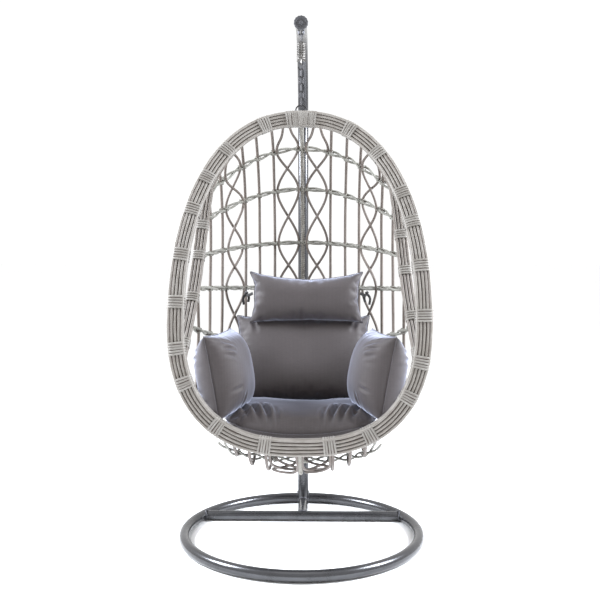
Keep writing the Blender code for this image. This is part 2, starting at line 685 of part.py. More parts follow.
def strand_path(x, swing=0.0, phase=1, inset=0.0, last_row=None):
    """A strand down the basket, set in from its surface. With a swing it weaves from side to side."""
    levels = stations()[:last_row + 1 if last_row else None]
    parting = [CROWN_OPENING] + [1 if i % 2 else -1 for i in range(1, len(levels))]
    places = [x + phase * swing * share for share in parting]
    inside = [i for i, level in enumerate(levels) if level_point(level, abs(x) + swing) is not None]
    points = [hoop_end(x + phase * min(swing, EIGHT + LATTICE_AIR), True)]
    points += [level_point(levels[i], places[i]) - inset * outward(levels, i, places[i]) for i in inside]
    if not last_row:
        points.append(hoop_end(places[inside[-1]], False))
    return through(points)


def row_path(index):
    """A row runs from hoop to hoop outside the strands."""
    levels = stations()
    level = levels[index + 1]
    edge = hoop_point(level[0])[0]
    lift = STAKE + ROW + LATTICE_AIR
    points = []
    for i in range(41):
        x = 0.984 * edge * math.sin(0.5 * math.pi * (i / 20 - 1))
        points.append(level_point(level, x) + lift * outward(levels, index + 1, x))
    return points


def make_lattice(looks, holder):
    front = (rim_path(720), math.hypot(*RIM_BUNDLE))
    heights = np.linspace(SIDE_TOP_Z, SIDE_BOTTOM_Z, 300)
    sides = [([hoop_point(z, s) for z in heights], math.hypot(*SIDE_BUNDLE)) for s in (-1, 1)]

    def laid(name, path, radius, look, count):
        room = [(curve, distance + radius + GAP) for curve, distance in [front] + sides]
        rod(name, clear_run(path, room, count), radius, look, holder)

    laid("back_rib", strand_path(0.0, inset=RIB - STAKE + GAP), RIB, looks["strand"], 20)
    for side, word in ((-1, "left"), (1, "right")):
        for i, x in enumerate(STAKE_X):
            laid(f"stake_{word}_{i + 1}", strand_path(side * x), STAKE, looks["stake"], 13)
        for (low, high), last, place in zip(EIGHT_COLUMNS, EIGHT_LAST_ROW, ("inner", "outer")):
            low_edge = low + (RIB if low == 0 else STAKE)
            swing = 0.5 * (high - STAKE - low_edge) - EIGHT - 1.5 * LATTICE_AIR
            middle = side * 0.5 * (low_edge + high - STAKE)
            for phase, letter, inset in ((1, "a", 0.0), (-1, "b", 2 * EIGHT + 4 * LATTICE_AIR)):
                path = strand_path(middle, swing, phase, inset, last)
                laid(f"eight_{word}_{place}_{letter}", path, EIGHT, looks["stake"], 24)
    for i in range(len(ROWS)):
        laid(f"weave_row_{i + 1}", row_path(i), ROW, looks["row"], 18)


# ---------------------------------------------------------------- cushions
def make_cushions(looks, holder):
    fabric = looks["fabric"]
    cushion("seat_cushion", *SEAT, Matrix.Identity(3), fabric, holder)
    cushion("back_cushion", *BACK, Matrix.Rotation(math.radians(BACK_TILT), 3, "X"), fabric, holder)
    cushion("head_pillow", *HEAD, Matrix.Rotation(math.radians(HEAD_TILT), 3, "X"), fabric, holder)
    half, (x, y, z), squareness = ARM
    upright = Matrix(((0, 0, 1), (1, 0, 0), (0, 1, 0)))
    for side, word in ((-1, "left"), (1, "right")):
        lean = Matrix.Rotation(math.radians(side * ARM_LEAN), 3, "Y")
        yaw = Matrix.Rotation(math.radians(side * ARM_YAW), 3, "Z")
        turn = yaw @ lean @ upright
        cushion(f"arm_cushion_{word}", half, (side * x, y, z), squareness, turn, fabric, holder)
    pillow_half, centre, _ = HEAD
    a, b = TIE_SECTION
    section = [(a, b), (-a, b), (-a, -b), (a, -b)]
    for side, word in ((-1, "left"), (1, "right")):
        start = Vector((side * (pillow_half[0] + 2 * GAP + 0.001), centre[1] + 0.003, TIE_Z))
        path = through([start, start + Vector((side * 0.018, 0.012, -0.006)),
            start + Vector((side * 0.030, 0.030, 0.004))], 4)
        swept(f"pillow_tie_{word}", path, section, (0, 0, 1), looks["tie"], holder)


# ---------------------------------------------------------------- assembly
def main():
    clear_scene()
    looks = {
        "steel": material("stand_steel", (0.10, 0.10, 0.11), 0.35, 0.9),
        "cap": material("cap_plastic", (0.05, 0.05, 0.055), 0.5),
        "bolt": material("bolt_steel", (0.55, 0.55, 0.56), 0.3, 1.0),
        "chain": material("chain_steel", (0.07, 0.07, 0.075), 0.45, 0.9),
        "spring": material("spring_steel", (0.16, 0.15, 0.14), 0.4, 0.9),
        "strand": material("rim_strand", (0.50, 0.48, 0.44), 0.6),
        "stake": material("lattice_stake", (0.20, 0.17, 0.15), 0.6),
        "row": material("lattice_row", (0.34, 0.34, 0.31), 0.6),
        "fabric": material("cushion_fabric", (0.11, 0.10, 0.105), 0.9),
        "tie": material("tie_fabric", (0.03, 0.03, 0.032), 0.9),
    }
    stand = body(ROOT, (0, 0, 0))
    level = hanger_levels(make_stand(looks, stand))
    holders = {ROOT: stand}
    chain = [("top_link", "eye"), ("spring_upper", "top_link_bottom"), ("spring_lower", "coil_top")]
    chain += [("link_1", "hook_bottom")]
    chain += [(f"link_{i}", f"link{i - 1}_bottom") for i in range(2, LOWER_LINKS + 1)]
    chain += [("basket", f"link{LOWER_LINKS}_bottom")]
    above = stand
    for name, key in chain:
        above = holders[name] = body(name, (0, HANG_Y, level[key]), above)
    make_hanger(level, looks, holders)
    make_rims(looks, holders["basket"])
    make_lattice(looks, holders["basket"])
    make_cushions(looks, holders["basket"])


main()
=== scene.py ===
"""The looks of the hanging egg chair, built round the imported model. Metres, in the model's own frame."""

import math

import bpy
import numpy as np
from mathutils import Matrix, Vector


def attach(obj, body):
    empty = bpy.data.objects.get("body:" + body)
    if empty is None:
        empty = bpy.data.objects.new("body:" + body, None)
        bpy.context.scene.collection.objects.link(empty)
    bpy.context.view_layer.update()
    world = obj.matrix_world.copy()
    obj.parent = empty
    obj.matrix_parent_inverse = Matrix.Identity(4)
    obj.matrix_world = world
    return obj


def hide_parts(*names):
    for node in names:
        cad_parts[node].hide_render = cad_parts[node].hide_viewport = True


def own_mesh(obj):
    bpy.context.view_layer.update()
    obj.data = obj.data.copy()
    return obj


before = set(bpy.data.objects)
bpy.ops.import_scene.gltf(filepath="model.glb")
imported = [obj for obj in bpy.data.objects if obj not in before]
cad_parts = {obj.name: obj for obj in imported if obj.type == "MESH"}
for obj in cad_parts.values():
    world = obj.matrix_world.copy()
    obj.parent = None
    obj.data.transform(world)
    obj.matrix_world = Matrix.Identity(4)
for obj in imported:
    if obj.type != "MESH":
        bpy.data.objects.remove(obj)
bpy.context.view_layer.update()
RNG = np.random.default_rng(7)

# ---- sizes shared with the CAD model
RING_RADIUS, RING_TUBE = 0.454, 0.021
GAP = 0.0003
CROSSBAR_Y, CROSSBAR_TUBE, SPINE_TUBE = 0.20, 0.019, 0.0205
MAST_Y, MAST_LOWER, MAST_UPPER = 0.405, 0.024, 0.0223
MAST_FOOT_Z, MAST_JOINT_Z, ARM_Z, MAST_BEND = 0.047, 0.95, 1.972, 0.37
SPIGOT_TOP_Z = 0.19
BOLT_HEIGHTS = {"mast_foot_bolt": 0.060, "mast_joint_bolt": 0.875}
CAP_RADIUS, CAP_DEPTH, CAP_LOBES, CAP_LOBE_DEPTH = 0.0268, 0.0155, 14, 0.0007
HANG_Y = -0.10
HANG_AXIS = np.array((0, HANG_Y, 0))
UP = np.array((0.0, 0.0, 1.0))
ARM_END = HANG_Y - 0.035
EYE_WIRE, EYE_HALF, EYE_DROP = 0.003, 0.009, 0.0160
LINK_WIRE, LINK_HALF, LINK_SPAN, LOWER_LINKS = 0.0025, 0.0065, 0.0328, 5
DRAWBAR_WIRE, DRAWBAR_HALF, UPPER_LOOP, LOWER_LOOP = 0.002, 0.008, 0.009, 0.017
COIL_RADIUS, COIL_WIRE, COIL_TURNS, COIL_PITCH = 0.015, 0.002, 10, 0.006
HOOK_SPAN, ARCH_WIRE, ARCH_RADIUS = 0.0270, 0.00275, 0.0205

RIM_HALF, RIM_TOP, RIM_BOTTOM, RIM_WIDEST = 0.429, 1.617, 0.452, 0.915
RIM_UPPER_POWER, RIM_LOWER_POWER, RIM_LEAN = 2.3, 2.55, 0.33
BUNDLE = (0.029, 0.0175)
SIDE_BUNDLE = (0.022, 0.015)
SIDE_TOP, SIDE_BOTTOM, SIDE_SETBACK = 1.600, 0.740, 0.17
SIDE_INSET, SIDE_INSET_TOP = 0.042, 1.36
BACK_Y, BACK_WIDEST, BACK_TOP = 0.28, 1.02, 1.600
BELLY_Y, BELLY_Z, BELLY_REACH, BELLY_RISE = -0.08, 0.288, 0.36, 0.24
BACK_UPPER_POWER, BACK_LOWER_POWER = 2.3, 2.2
ROWS = (
    (1.336, 1.525, 1.8), (1.233, 1.367, 1.8), (1.096, 1.145, 1.6), (0.982, 0.955, 1.0),
    (0.864, 0.720, 1.0), (0.700, 0.460, 0.9), (0.520, 0.302, 0.65),
)
STAKE_X = (0.116, 0.177, 0.2315, 0.316, 0.3535, 0.383)
STAKE, EIGHT, RIB = 0.0052, 0.0045, 0.0085
EIGHT_COLUMNS = ((0.0, 0.116), (0.2315, 0.316))
EIGHT_LAST_ROW = (7, 5)
CROWN_OPENING = 0.45
AIR = 0.0018


# ---- paths
def unit(v):
    return v / np.maximum(np.linalg.norm(v, axis=-1, keepdims=True), 1e-12)


def resample(points, count, closed=False):
    points = np.asarray(points, float)
    if closed:
        points = np.vstack([points, points[:1]])
    along = np.concatenate([[0], np.cumsum(np.linalg.norm(np.diff(points, axis=0), axis=1))])
    wanted = np.linspace(0, along[-1], count + 1 if closed else count)
    wanted = wanted[:-1] if closed else wanted
    return np.column_stack([np.interp(wanted, along, points[:, i]) for i in range(3)])


def between(first, second, t, low, high):
    return ((high - t) * first + (t - low) * second) / (high - low)


def through(points, per_span=16):
    """A smooth curve through the points (centripetal Catmull-Rom)."""
    points = np.asarray(points, float)
    points = np.vstack([2 * points[0] - points[1], points, 2 * points[-1] - points[-2]])
    curve = []
    for p0, p1, p2, p3 in zip(points, points[1:], points[2:], points[3:]):
        a, b, c = (math.sqrt(max(np.linalg.norm(q - p), 1e-9)) for p, q in ((p0, p1), (p1, p2), (p2, p3)))
        t1, t2, t3 = a, a + b, a + b + c
        for t in np.linspace(t1, t2, per_span, endpoint=False):
            b1 = between(between(p0, p1, t, 0, t1), between(p1, p2, t, t1, t2), t, 0, t2)
            b2 = between(between(p1, p2, t, t1, t2), between(p2, p3, t, t2, t3), t, t1, t3)
            curve.append(between(b1, b2, t, t1, t2))
    curve.append(points[-2])
    return np.array(curve)


def arc(centre, radius, start, end, steps, across, up):
    turns = np.radians(np.linspace(start, end, steps + 1))[:, None]
    return np.array(centre) + radius * (np.cos(turns) * np.array(across) + np.sin(turns) * np.array(up))


def tangents(path, closed):
    if closed:
        return unit(np.roll(path, -1, 0) - np.roll(path, 1, 0))
    return unit(np.gradient(path, axis=0))


def signed_power(value, power):
    return np.sign(value) * np.abs(value) ** power


# ---- mesh building
def placed(name, data):
    made = bpy.data.objects.new(name, data)
    bpy.context.collection.objects.link(made)
    return made


class Pile:
    """Tubes gathered into one mesh, with UVs (share of the way round, metres along) and a tone each."""

    def __init__(self):
        self.points, self.faces, self.uvs, self.tones = [], [], [], []
        self.count = 0

    def tube(self, path, radius, sides=8, closed=False, flat=1.0, tone=None, normals=None, radii=None):
        """radius is the half width; flat times radius is the half thickness along the normals."""
        path = np.asarray(path, float)
        n = len(path)
        along = tangents(path, closed)
        if normals is None:
            normals = np.zeros_like(path)
            seed = np.eye(3)[np.argmin(np.abs(along[0]))]
            normals[0] = unit(seed - seed @ along[0] * along[0])
            for i in range(1, n):
                normals[i] = unit(normals[i - 1] - normals[i - 1] @ along[i] * along[i])
        else:
            normals = unit(normals - np.sum(normals * along, axis=1, keepdims=True) * along)
        across = np.cross(along, normals)
        turns = 2 * np.pi * np.arange(sides) / sides
        size = np.ones(n) if radii is None else np.asarray(radii)
        ring = (np.cos(turns)[None, :, None] * across[:, None, :]
                + flat * np.sin(turns)[None, :, None] * normals[:, None, :])
        points = path[:, None, :] + radius * size[:, None, None] * ring
        spans = n if closed else n - 1
        i, j = np.meshgrid(np.arange(spans), np.arange(sides), indexing="ij")
        i2, j2 = (i + 1) % n, (j + 1) % sides
        quads = np.stack([i * sides + j, i * sides + j2, i2 * sides + j2, i2 * sides + j], -1).reshape(-1, 4)
        length = np.concatenate([[0], np.cumsum(np.linalg.norm(np.diff(path, axis=0), axis=1))])
        step = length[-1] / max(n - 1, 1)
        low, high = i * step, (i + 1) * step
        left, right = j / sides, (j + 1) / sides
        uv = np.stack([np.stack([left, low], -1), np.stack([right, low], -1),
                       np.stack([right, high], -1), np.stack([left, high], -1)], 2).reshape(-1, 4, 2)
        base = self.count
        self.points.append(points.reshape(-1, 3))
        self.count += n * sides
        tone = RNG.uniform(0, 1) if tone is None else tone
        self.faces += [tuple(q) for q in (quads + base).tolist()]
        self.uvs += uv.reshape(-1, 2).tolist()
        self.tones += [tone] * len(quads)
        if not closed:
            for ring_start, turned in ((0, True), ((n - 1) * sides, False)):
                loop = [base + ring_start + k for k in range(sides)]
                self.faces.append(tuple(reversed(loop)) if turned else tuple(loop))
                self.uvs += [(k / sides, 0.0) for k in range(sides)]
                self.tones.append(tone)

    def make(self, name, look, body, replaced=()):
        data = bpy.data.meshes.new(name)
        data.from_pydata(np.vstack(self.points).tolist(), [], self.faces)
        layer = data.uv_layers.new(name="UVMap")
        layer.data.foreach_set("uv", np.array(self.uvs, np.float32).ravel())
        tone = data.attributes.new("tone", "FLOAT", "FACE")
        tone.data.foreach_set("value", np.array(self.tones, np.float32))
        data.shade_smooth()
        data.set_sharp_from_angle(angle=math.radians(50))
        return add(name, data, look, body, replaced)


def add(name, data, look, body, replaced=()):
    made = placed(name, data)
    data.materials.append(look)
    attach(made, body)
    if replaced:
        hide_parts(*replaced)
    return made


def lone_tube(name, path, radius, look, body, slot, replaced=(), **more):
    pile = Pile()
    pile.tube(path, radius, **more)
    return pile.make(name, look, body, replaced)


def turned(name, profile, centre, axis, look, body, slot, replaced=(), sides=96, lobes=0, depth=0.0):
    """A turned piece from (radius, distance along the axis, share of the lobes)."""
    axis = np.array(axis, float)
    across = unit(np.cross(axis, (0.3, 0.2, 1.0)))
    up = np.cross(axis, across)
    turns = 2 * np.pi * np.arange(sides) / sides
    points, faces = [], []
    for radius, along, share in profile:
        r = radius + share * depth * np.cos(lobes * turns)
        points.append(np.array(centre) + along * axis
                      + r[:, None] * (np.cos(turns)[:, None] * across + np.sin(turns)[:, None] * up))
    for k in range(len(profile) - 1):
        for i in range(sides):
            j = (i + 1) % sides
            faces.append((k * sides + i, k * sides + j, (k + 1) * sides + j, (k + 1) * sides + i))
    faces.append(tuple(reversed(range(sides))))
    last = (len(profile) - 1) * sides
    faces.append(tuple(range(last, last + sides)))
    data = bpy.data.meshes.new(name)
    data.from_pydata(np.vstack(points).tolist(), [], faces)
    data.shade_smooth()
    data.set_sharp_from_angle(angle=math.radians(38))
    return add(name, data, look, body, replaced)


# ---- materials
def shader_of(name, colour, roughness, metallic=0.0):
    made = bpy.data.materials.new(name)
    made.use_nodes = True
    shader = made.node_tree.nodes["Principled BSDF"]
    shader.inputs["Base Color"].default_value = (*colour, 1)
    shader.inputs["Roughness"].default_value = roughness
    shader.inputs["Metallic"].default_value = metallic
    return made, shader, made.node_tree


def node(tree, kind, **values):
    made = tree.nodes.new(kind)
    for key, value in values.items():
        if key in made.inputs:
            made.inputs[key].default_value = value
        else:
            setattr(made, key, value)
    return made


def noise(tree, vector, scale, detail=4.0, roughness=0.6):
    made = node(tree, "ShaderNodeTexNoise", Scale=scale, Detail=detail, Roughness=roughness)
    tree.links.new(vector, made.inputs["Vector"])
    return made.outputs["Fac"]


def ramp(tree, value, stops):
    made = tree.nodes.new("ShaderNodeValToRGB")
    tree.links.new(value, made.inputs["Fac"])
    elements = made.color_ramp.elements
    for i, (place, colour) in enumerate(stops):
        element = elements[i] if i < 2 else elements.new(place)
        element.position = place
        element.color = (*colour, 1)
    return made.outputs["Color"]


def mixed(tree, kind, share, first, second):
    made = tree.nodes.new("ShaderNodeMix")
    made.data_type = "RGBA"
    made.blend_type = kind
    for key, value in (("Factor", share), ("A", first), ("B", second)):
        socket = made.inputs[key]
        if isinstance(value, bpy.types.NodeSocket):
            tree.links.new(value, socket)
        elif isinstance(value, tuple):
            socket.default_value = (*value, 1)
        else:
            socket.default_value = value
    return made.outputs["Result"]


def maths(tree, kind, first, second=0.5):
    made = tree.nodes.new("ShaderNodeMath")
    made.operation = kind
    for socket, value in zip(made.inputs, (first, second)):
        if isinstance(value, bpy.types.NodeSocket):
            tree.links.new(value, socket)
        else:
            socket.default_value = value
    return made.outputs["Value"]


def stretched(tree, source, scale):
    made = node(tree, "ShaderNodeMapping", Scale=scale)
    tree.links.new(source, made.inputs["Vector"])
    return made.outputs["Vector"]


def bumped(tree, shader, height, strength, distance):
    made = node(tree, "ShaderNodeBump", Strength=strength, Distance=distance)
    tree.links.new(height, made.inputs["Height"])
    tree.links.new(made.outputs["Normal"], shader.inputs["Normal"])


def scaled(colour, share):
    return tuple(share * c for c in colour)


def wicker(name, light, dark, roughness=0.55):
    """Resin strand: fine streaks along its length, a tone of its own, and grime in places."""
    made, shader, tree = shader_of(name, light, roughness)
    place = tree.nodes.new("ShaderNodeTexCoord")
    along = stretched(tree, place.outputs["UV"], (26, 9, 1))
    streaks = noise(tree, along, 1.0, 5, 0.65)
    patches = noise(tree, place.outputs["Object"], 38, 3, 0.5)
    tone = node(tree, "ShaderNodeAttribute", attribute_name="tone").outputs["Fac"]
    base = ramp(tree, streaks, [(0.30, dark), (0.475, light), (0.85, scaled(light, 1.14))])
    grime = ramp(tree, patches, [(0.35, (0.72, 0.69, 0.66)), (0.62, (1, 1, 1))])
    worn = mixed(tree, "MULTIPLY", 0.55, base, grime)
    tones = ramp(tree, tone, [(0.0, (0.74, 0.72, 0.70)), (1.0, (1.12, 1.12, 1.12))])
    toned = mixed(tree, "MULTIPLY", 0.6, worn, tones)
    tree.links.new(toned, shader.inputs["Base Color"])
    rough = maths(tree, "MULTIPLY_ADD", streaks, 0.25)
    tree.nodes[-1].inputs[2].default_value = roughness - 0.12
    tree.links.new(rough, shader.inputs["Roughness"])
    bumped(tree, shader, streaks, 0.35, 0.0006)
    return made


def coated_steel(name, colour, roughness, metallic, wear=0.3, coat=0.0):
    """Powder coat on tube: orange-peel grain, faint mottling and rubbed places."""
    made, shader, tree = shader_of(name, colour, roughness, metallic)
    place = tree.nodes.new("ShaderNodeTexCoord").outputs["Object"]
    grain = noise(tree, place, 900, 2, 0.5)
    mottle = noise(tree, place, 14, 5, 0.6)
    tones = [(0.3, scaled(colour, 1 - wear)), (0.7, scaled(colour, 1 + wear))]
    tree.links.new(ramp(tree, mottle, tones), shader.inputs["Base Color"])
    rough = ramp(tree, mottle, [(0.3, (roughness + 0.08,) * 3), (0.7, (roughness - 0.06,) * 3)])
    tree.links.new(rough, shader.inputs["Roughness"])
    bumped(tree, shader, grain, 0.12, 0.0003)
    shader.inputs["Coat Weight"].default_value = coat
    shader.inputs["Coat Roughness"].default_value = 0.12
    return made


def woven_cloth(name, colour, tint):
    """Plain-weave polyester: threads both ways, slubs, and a soft sheen."""
    made, shader, tree = shader_of(name, colour, 0.68)
    place = tree.nodes.new("ShaderNodeTexCoord").outputs["Object"]
    threads = []
    for turn in ((1, 0, 0.25), (0, 1, 0.25), (0.2, 0.2, 1)):
        wave = node(tree, "ShaderNodeTexWave", Scale=1.0, Distortion=0.6, Detail=2.0)
        tree.links.new(stretched(tree, place, tuple(300 * t for t in turn)), wave.inputs["Vector"])
        threads.append(wave.outputs["Fac"])
    cloth = maths(tree, "MAXIMUM", maths(tree, "MAXIMUM", threads[0], threads[1]), threads[2])
    slubs = noise(tree, stretched(tree, place, (60, 60, 340)), 1.0, 4, 0.6)
    broad = noise(tree, place, 7, 4, 0.55)
    weave = ramp(tree, cloth, [(0.15, scaled(colour, 0.72)), (0.8, scaled(colour, 1.12))])
    slub_tones = ramp(tree, slubs, [(0.3, (0.75, 0.75, 0.75)), (0.7, (1.2, 1.2, 1.2))])
    slubbed = mixed(tree, "MULTIPLY", 0.35, weave, slub_tones)
    fading = ramp(tree, broad, [(0.3, (0.84, 0.82, 0.82)), (0.7, (1.12, 1.12, 1.15))])
    faded = mixed(tree, "MULTIPLY", 0.5, slubbed, fading)
    tree.links.new(faded, shader.inputs["Base Color"])
    shader.inputs["Sheen Weight"].default_value = 0.9
    shader.inputs["Sheen Roughness"].default_value = 0.35
    shader.inputs["Sheen Tint"].default_value = (*tint, 1)
    shader.inputs["Specular IOR Level"].default_value = 0.5
    bumped(tree, shader, cloth, 0.22, 0.0004)
    return made


LOOKS = {
    "steel": coated_steel("stand_powder_coat", (0.046, 0.046, 0.050), 0.24, 0.7, coat=0.4),
    "weld": coated_steel("weld_bead_coat", (0.09, 0.09, 0.10), 0.42, 0.85),
    "bolt": coated_steel("zinc_bolt", (0.62, 0.62, 0.63), 0.25, 1.0, 0.12),
    "cap": coated_steel("cap_moulding", (0.045, 0.045, 0.05), 0.5, 0.0),
    "chain": coated_steel("chain_coat", (0.045, 0.043, 0.045), 0.42, 0.7, 0.5),
    "spring": coated_steel("spring_steel_oiled", (0.20, 0.19, 0.18), 0.34, 0.9, 0.35),
    "rim": wicker("rim_wicker", (0.236, 0.221, 0.203), (0.104, 0.085, 0.072)),
    # the rim's wicker made darker for the side rims: painted shade for the shadow they sit in
    "side_rim": wicker("side_rim_shaded_wicker", (0.175, 0.155, 0.138), (0.080, 0.062, 0.052)),
    "binding": wicker("binding_wicker", (0.235, 0.224, 0.208), (0.125, 0.109, 0.096)),
    # dark wicker for the bundle cores, the sleeves under bindings and the rib core: painted shade between
    # strands and between binding turns
    "core": wicker("bundle_shadow", (0.070, 0.048, 0.039), (0.030, 0.021, 0.017), 0.8),
    "stake": wicker("stake_wicker", (0.118, 0.096, 0.083), (0.047, 0.035, 0.030)),
    "row": wicker("row_wicker", (0.225, 0.222, 0.199), (0.085, 0.078, 0.066)),
    "rib": wicker("rib_wicker", (0.26, 0.25, 0.225), (0.10, 0.085, 0.075)),
    "cloth": woven_cloth("charcoal_polyester", (0.052, 0.043, 0.043), (0.72, 0.78, 1.0)),
    "tie": woven_cloth("tie_webbing", (0.022, 0.021, 0.022), (0.6, 0.6, 0.65)),
}


# ---- stand
def weld(pile, path, radius=0.0032, count=90, ripples=22):
    """A bead with the ripples of a hand weld, kept above the floor."""
    path = resample(path, count, closed=True)
    path[:, 2] = np.maximum(path[:, 2], 1.2 * radius)
    ripple = 1 + 0.16 * np.sin(np.arange(count) * 2 * np.pi * ripples / count) + RNG.normal(0, 0.03, count)
    pile.tube(path, radius, sides=8, closed=True, radii=ripple)


def make_stand():
    body, slot = "stand", "stand_steel"

    def steel_tube(name, path, radius, cad_name, **more):
        lone_tube(name, path, radius, LOOKS["steel"], body, slot, [cad_name], **more)

    def ring_inner(z):
        return RING_RADIUS - np.sqrt(np.maximum(RING_TUBE ** 2 - (z - RING_TUBE) ** 2, 0))

    ring = arc((0, 0, RING_TUBE), RING_RADIUS, 0, 360, 240, (1, 0, 0), (0, 1, 0))[:-1]
    steel_tube("ring_tube", ring, RING_TUBE, "base_ring", sides=40, closed=True)

    end = math.sqrt(ring_inner(RING_TUBE) ** 2 - CROSSBAR_Y ** 2) + 0.006
    bar = resample([(-end, CROSSBAR_Y, RING_TUBE), (end, CROSSBAR_Y, RING_TUBE)], 60)
    steel_tube("crossbar_tube", bar, CROSSBAR_TUBE, "base_crossbar", sides=40)
    spine = resample([(0, CROSSBAR_Y + 0.012, RING_TUBE), (0, RING_RADIUS - 0.012, RING_TUBE)], 20)
    steel_tube("spine_tube", spine, SPINE_TUBE, "base_spine", sides=40)

    spigot = resample([(0, MAST_Y, 0.030), (0, MAST_Y, SPIGOT_TOP_Z)], 12)
    steel_tube("spigot_tube", spigot, MAST_UPPER, "base_spigot", sides=40)
    lower = resample([(0, MAST_Y, MAST_FOOT_Z), (0, MAST_Y, MAST_JOINT_Z)], 40)
    rolled_edge = np.append(np.ones(39), 0.965)
    steel_tube("mast_lower_tube", lower, MAST_LOWER, "mast_lower", sides=48, radii=rolled_edge)
    upright = [(0, MAST_Y, z) for z in np.linspace(MAST_JOINT_Z - 0.12, ARM_Z - MAST_BEND, 30)[:-1]]
    bend = arc((0, MAST_Y - MAST_BEND, ARM_Z - MAST_BEND), MAST_BEND, 0, 90, 48, (0, 1, 0), (0, 0, 1))
    arm = resample([(0, MAST_Y - MAST_BEND, ARM_Z), (0, ARM_END, ARM_Z)], 10)[1:]
    path = np.vstack([upright, bend, arm])
    steel_tube("mast_upper_tube", path, MAST_UPPER, "mast_upper", sides=48)

    around = np.linspace(0, 2 * np.pi, 120, endpoint=False)
    beads = Pile()
    for side in (-1, 1):
        y = CROSSBAR_Y + CROSSBAR_TUBE * np.cos(around)
        z = RING_TUBE + CROSSBAR_TUBE * np.sin(around)
        beads_x = side * np.sqrt(ring_inner(z) ** 2 - y ** 2)
        weld(beads, np.column_stack([beads_x, y, z]))
    x, z = SPINE_TUBE * np.cos(around), RING_TUBE + SPINE_TUBE * np.sin(around)
    weld(beads, np.column_stack([x, np.sqrt(ring_inner(z) ** 2 - x ** 2), z]))
    rise = np.minimum(np.abs(z - RING_TUBE), CROSSBAR_TUBE)
    weld(beads, np.column_stack([x, CROSSBAR_Y + np.sqrt(CROSSBAR_TUBE ** 2 - rise ** 2), z]))
    x, y = MAST_UPPER * np.cos(around), MAST_Y + MAST_UPPER * np.sin(around)
    saddle = RING_TUBE + np.sqrt(SPINE_TUBE ** 2 - np.minimum(np.abs(x), 0.97 * SPINE_TUBE) ** 2)
    weld(beads, np.column_stack([x, y, saddle]), 0.003)
    for side in (-1, 1):
        root = (side * EYE_HALF, HANG_Y, ARM_Z - MAST_UPPER + 0.0008)
        weld(beads, arc(root, EYE_WIRE, 0, 360, 24, (1, 0, 0), (0, 1, 0))[:-1], 0.0012)
    beads.make("weld_beads", LOOKS["weld"], body)

    for name, height in BOLT_HEIGHTS.items():
        through_bolt(name, height)

    cap, depth, plug, middle = CAP_RADIUS, CAP_DEPTH, MAST_UPPER - 0.003, 1e-4
    profile = [
        (middle, -0.018, 0), (plug, -0.018, 0), (plug, GAP, 0), (cap - 0.0015, GAP, 0.7),
        (cap - 0.0003, 0.0012, 1), (cap, 0.003, 1), (cap, 0.009, 1), (cap - 0.0005, 0.0108, 1),
        (cap - 0.003, depth - 0.003, 0.8), (0.76 * cap, depth - 0.0028, 0),
        (0.70 * cap, depth - 0.0036, 0), (0.62 * cap, depth - 0.0058, 0),
        (0.38 * cap, depth - 0.0060, 0), (0.32 * cap, depth - 0.0048, 0),
        (0.28 * cap, depth - 0.0012, 0), (0.20 * cap, depth - 0.0002, 0), (middle, depth - 0.0001, 0),
    ]
    turned("end_cap_moulding", profile, (0, ARM_END, ARM_Z), (0, -1, 0), LOOKS["cap"], body, "cap_plastic",
        ["arm_end_cap"], sides=168, lobes=CAP_LOBES, depth=CAP_LOBE_DEPTH)


def through_bolt(cad_name, height):
    """A hexagon head on the right, a nut on the left, and a washer under each."""
    pile = Pile()
    reach = MAST_LOWER + GAP
    for side in (-1, 1):
        washer = [(side * (reach + t), MAST_Y, height) for t in (0.0, 0.0012)]
        pile.tube(washer, 0.0064, sides=40)
        head = [(side * (reach + t), MAST_Y, height) for t in (0.0012, 0.0014, 0.0044, 0.0050)]
        pile.tube(head, 0.0056, sides=6, radii=[0.97, 1.0, 1.0, 0.9])
    pile.tube([(-reach - 0.0052, MAST_Y, height), (reach, MAST_Y, height)], 0.003, sides=24)
    pile.make(cad_name + "_set", LOOKS["bolt"], "stand", [cad_name])


# ---- hanger
def hanger_levels():
    """Height of each bar of the hanger, from the eye down. A hanging bar lies on the one below it."""
    level = {"eye": ARM_Z - MAST_UPPER - EYE_DROP}
    level["top_link_top"] = level["eye"] + EYE_WIRE + LINK_WIRE + GAP
    level["top_link_bottom"] = level["top_link_top"] - LINK_SPAN
    level["upper_drawbar"] = level["top_link_bottom"] + LINK_WIRE + DRAWBAR_WIRE + GAP
    level["coil_top"] = level["upper_drawbar"] - UPPER_LOOP - COIL_WIRE
    level["coil_bottom"] = level["coil_top"] - COIL_TURNS * COIL_PITCH
    level["lower_drawbar"] = level["coil_bottom"] - LOWER_LOOP
    level["hook_top"] = level["lower_drawbar"] + DRAWBAR_WIRE + LINK_WIRE + GAP
    bottom = level["hook_bottom"] = level["hook_top"] - HOOK_SPAN
    for i in range(1, LOWER_LINKS + 1):
        level[f"top_{i}"] = bottom + 2 * LINK_WIRE + GAP
        bottom = level[f"bottom_{i}"] = level[f"top_{i}"] - LINK_SPAN
    level["arch"] = bottom + LINK_WIRE + ARCH_WIRE + GAP
    return level


def chain_link(name, top, bottom, across, body, replaced):
    w = LINK_HALF
    path = np.vstack([
        arc((0, HANG_Y, top - w), w, 0, 180, 20, across, (0, 0, 1)),
        arc((0, HANG_Y, bottom + w), w, 180, 360, 20, across, (0, 0, 1)),
    ])
    path = resample(path, 72, closed=True)
    lone_tube(name, path, LINK_WIRE, LOOKS["chain"], body, "chain_steel", [replaced], sides=16, closed=True)


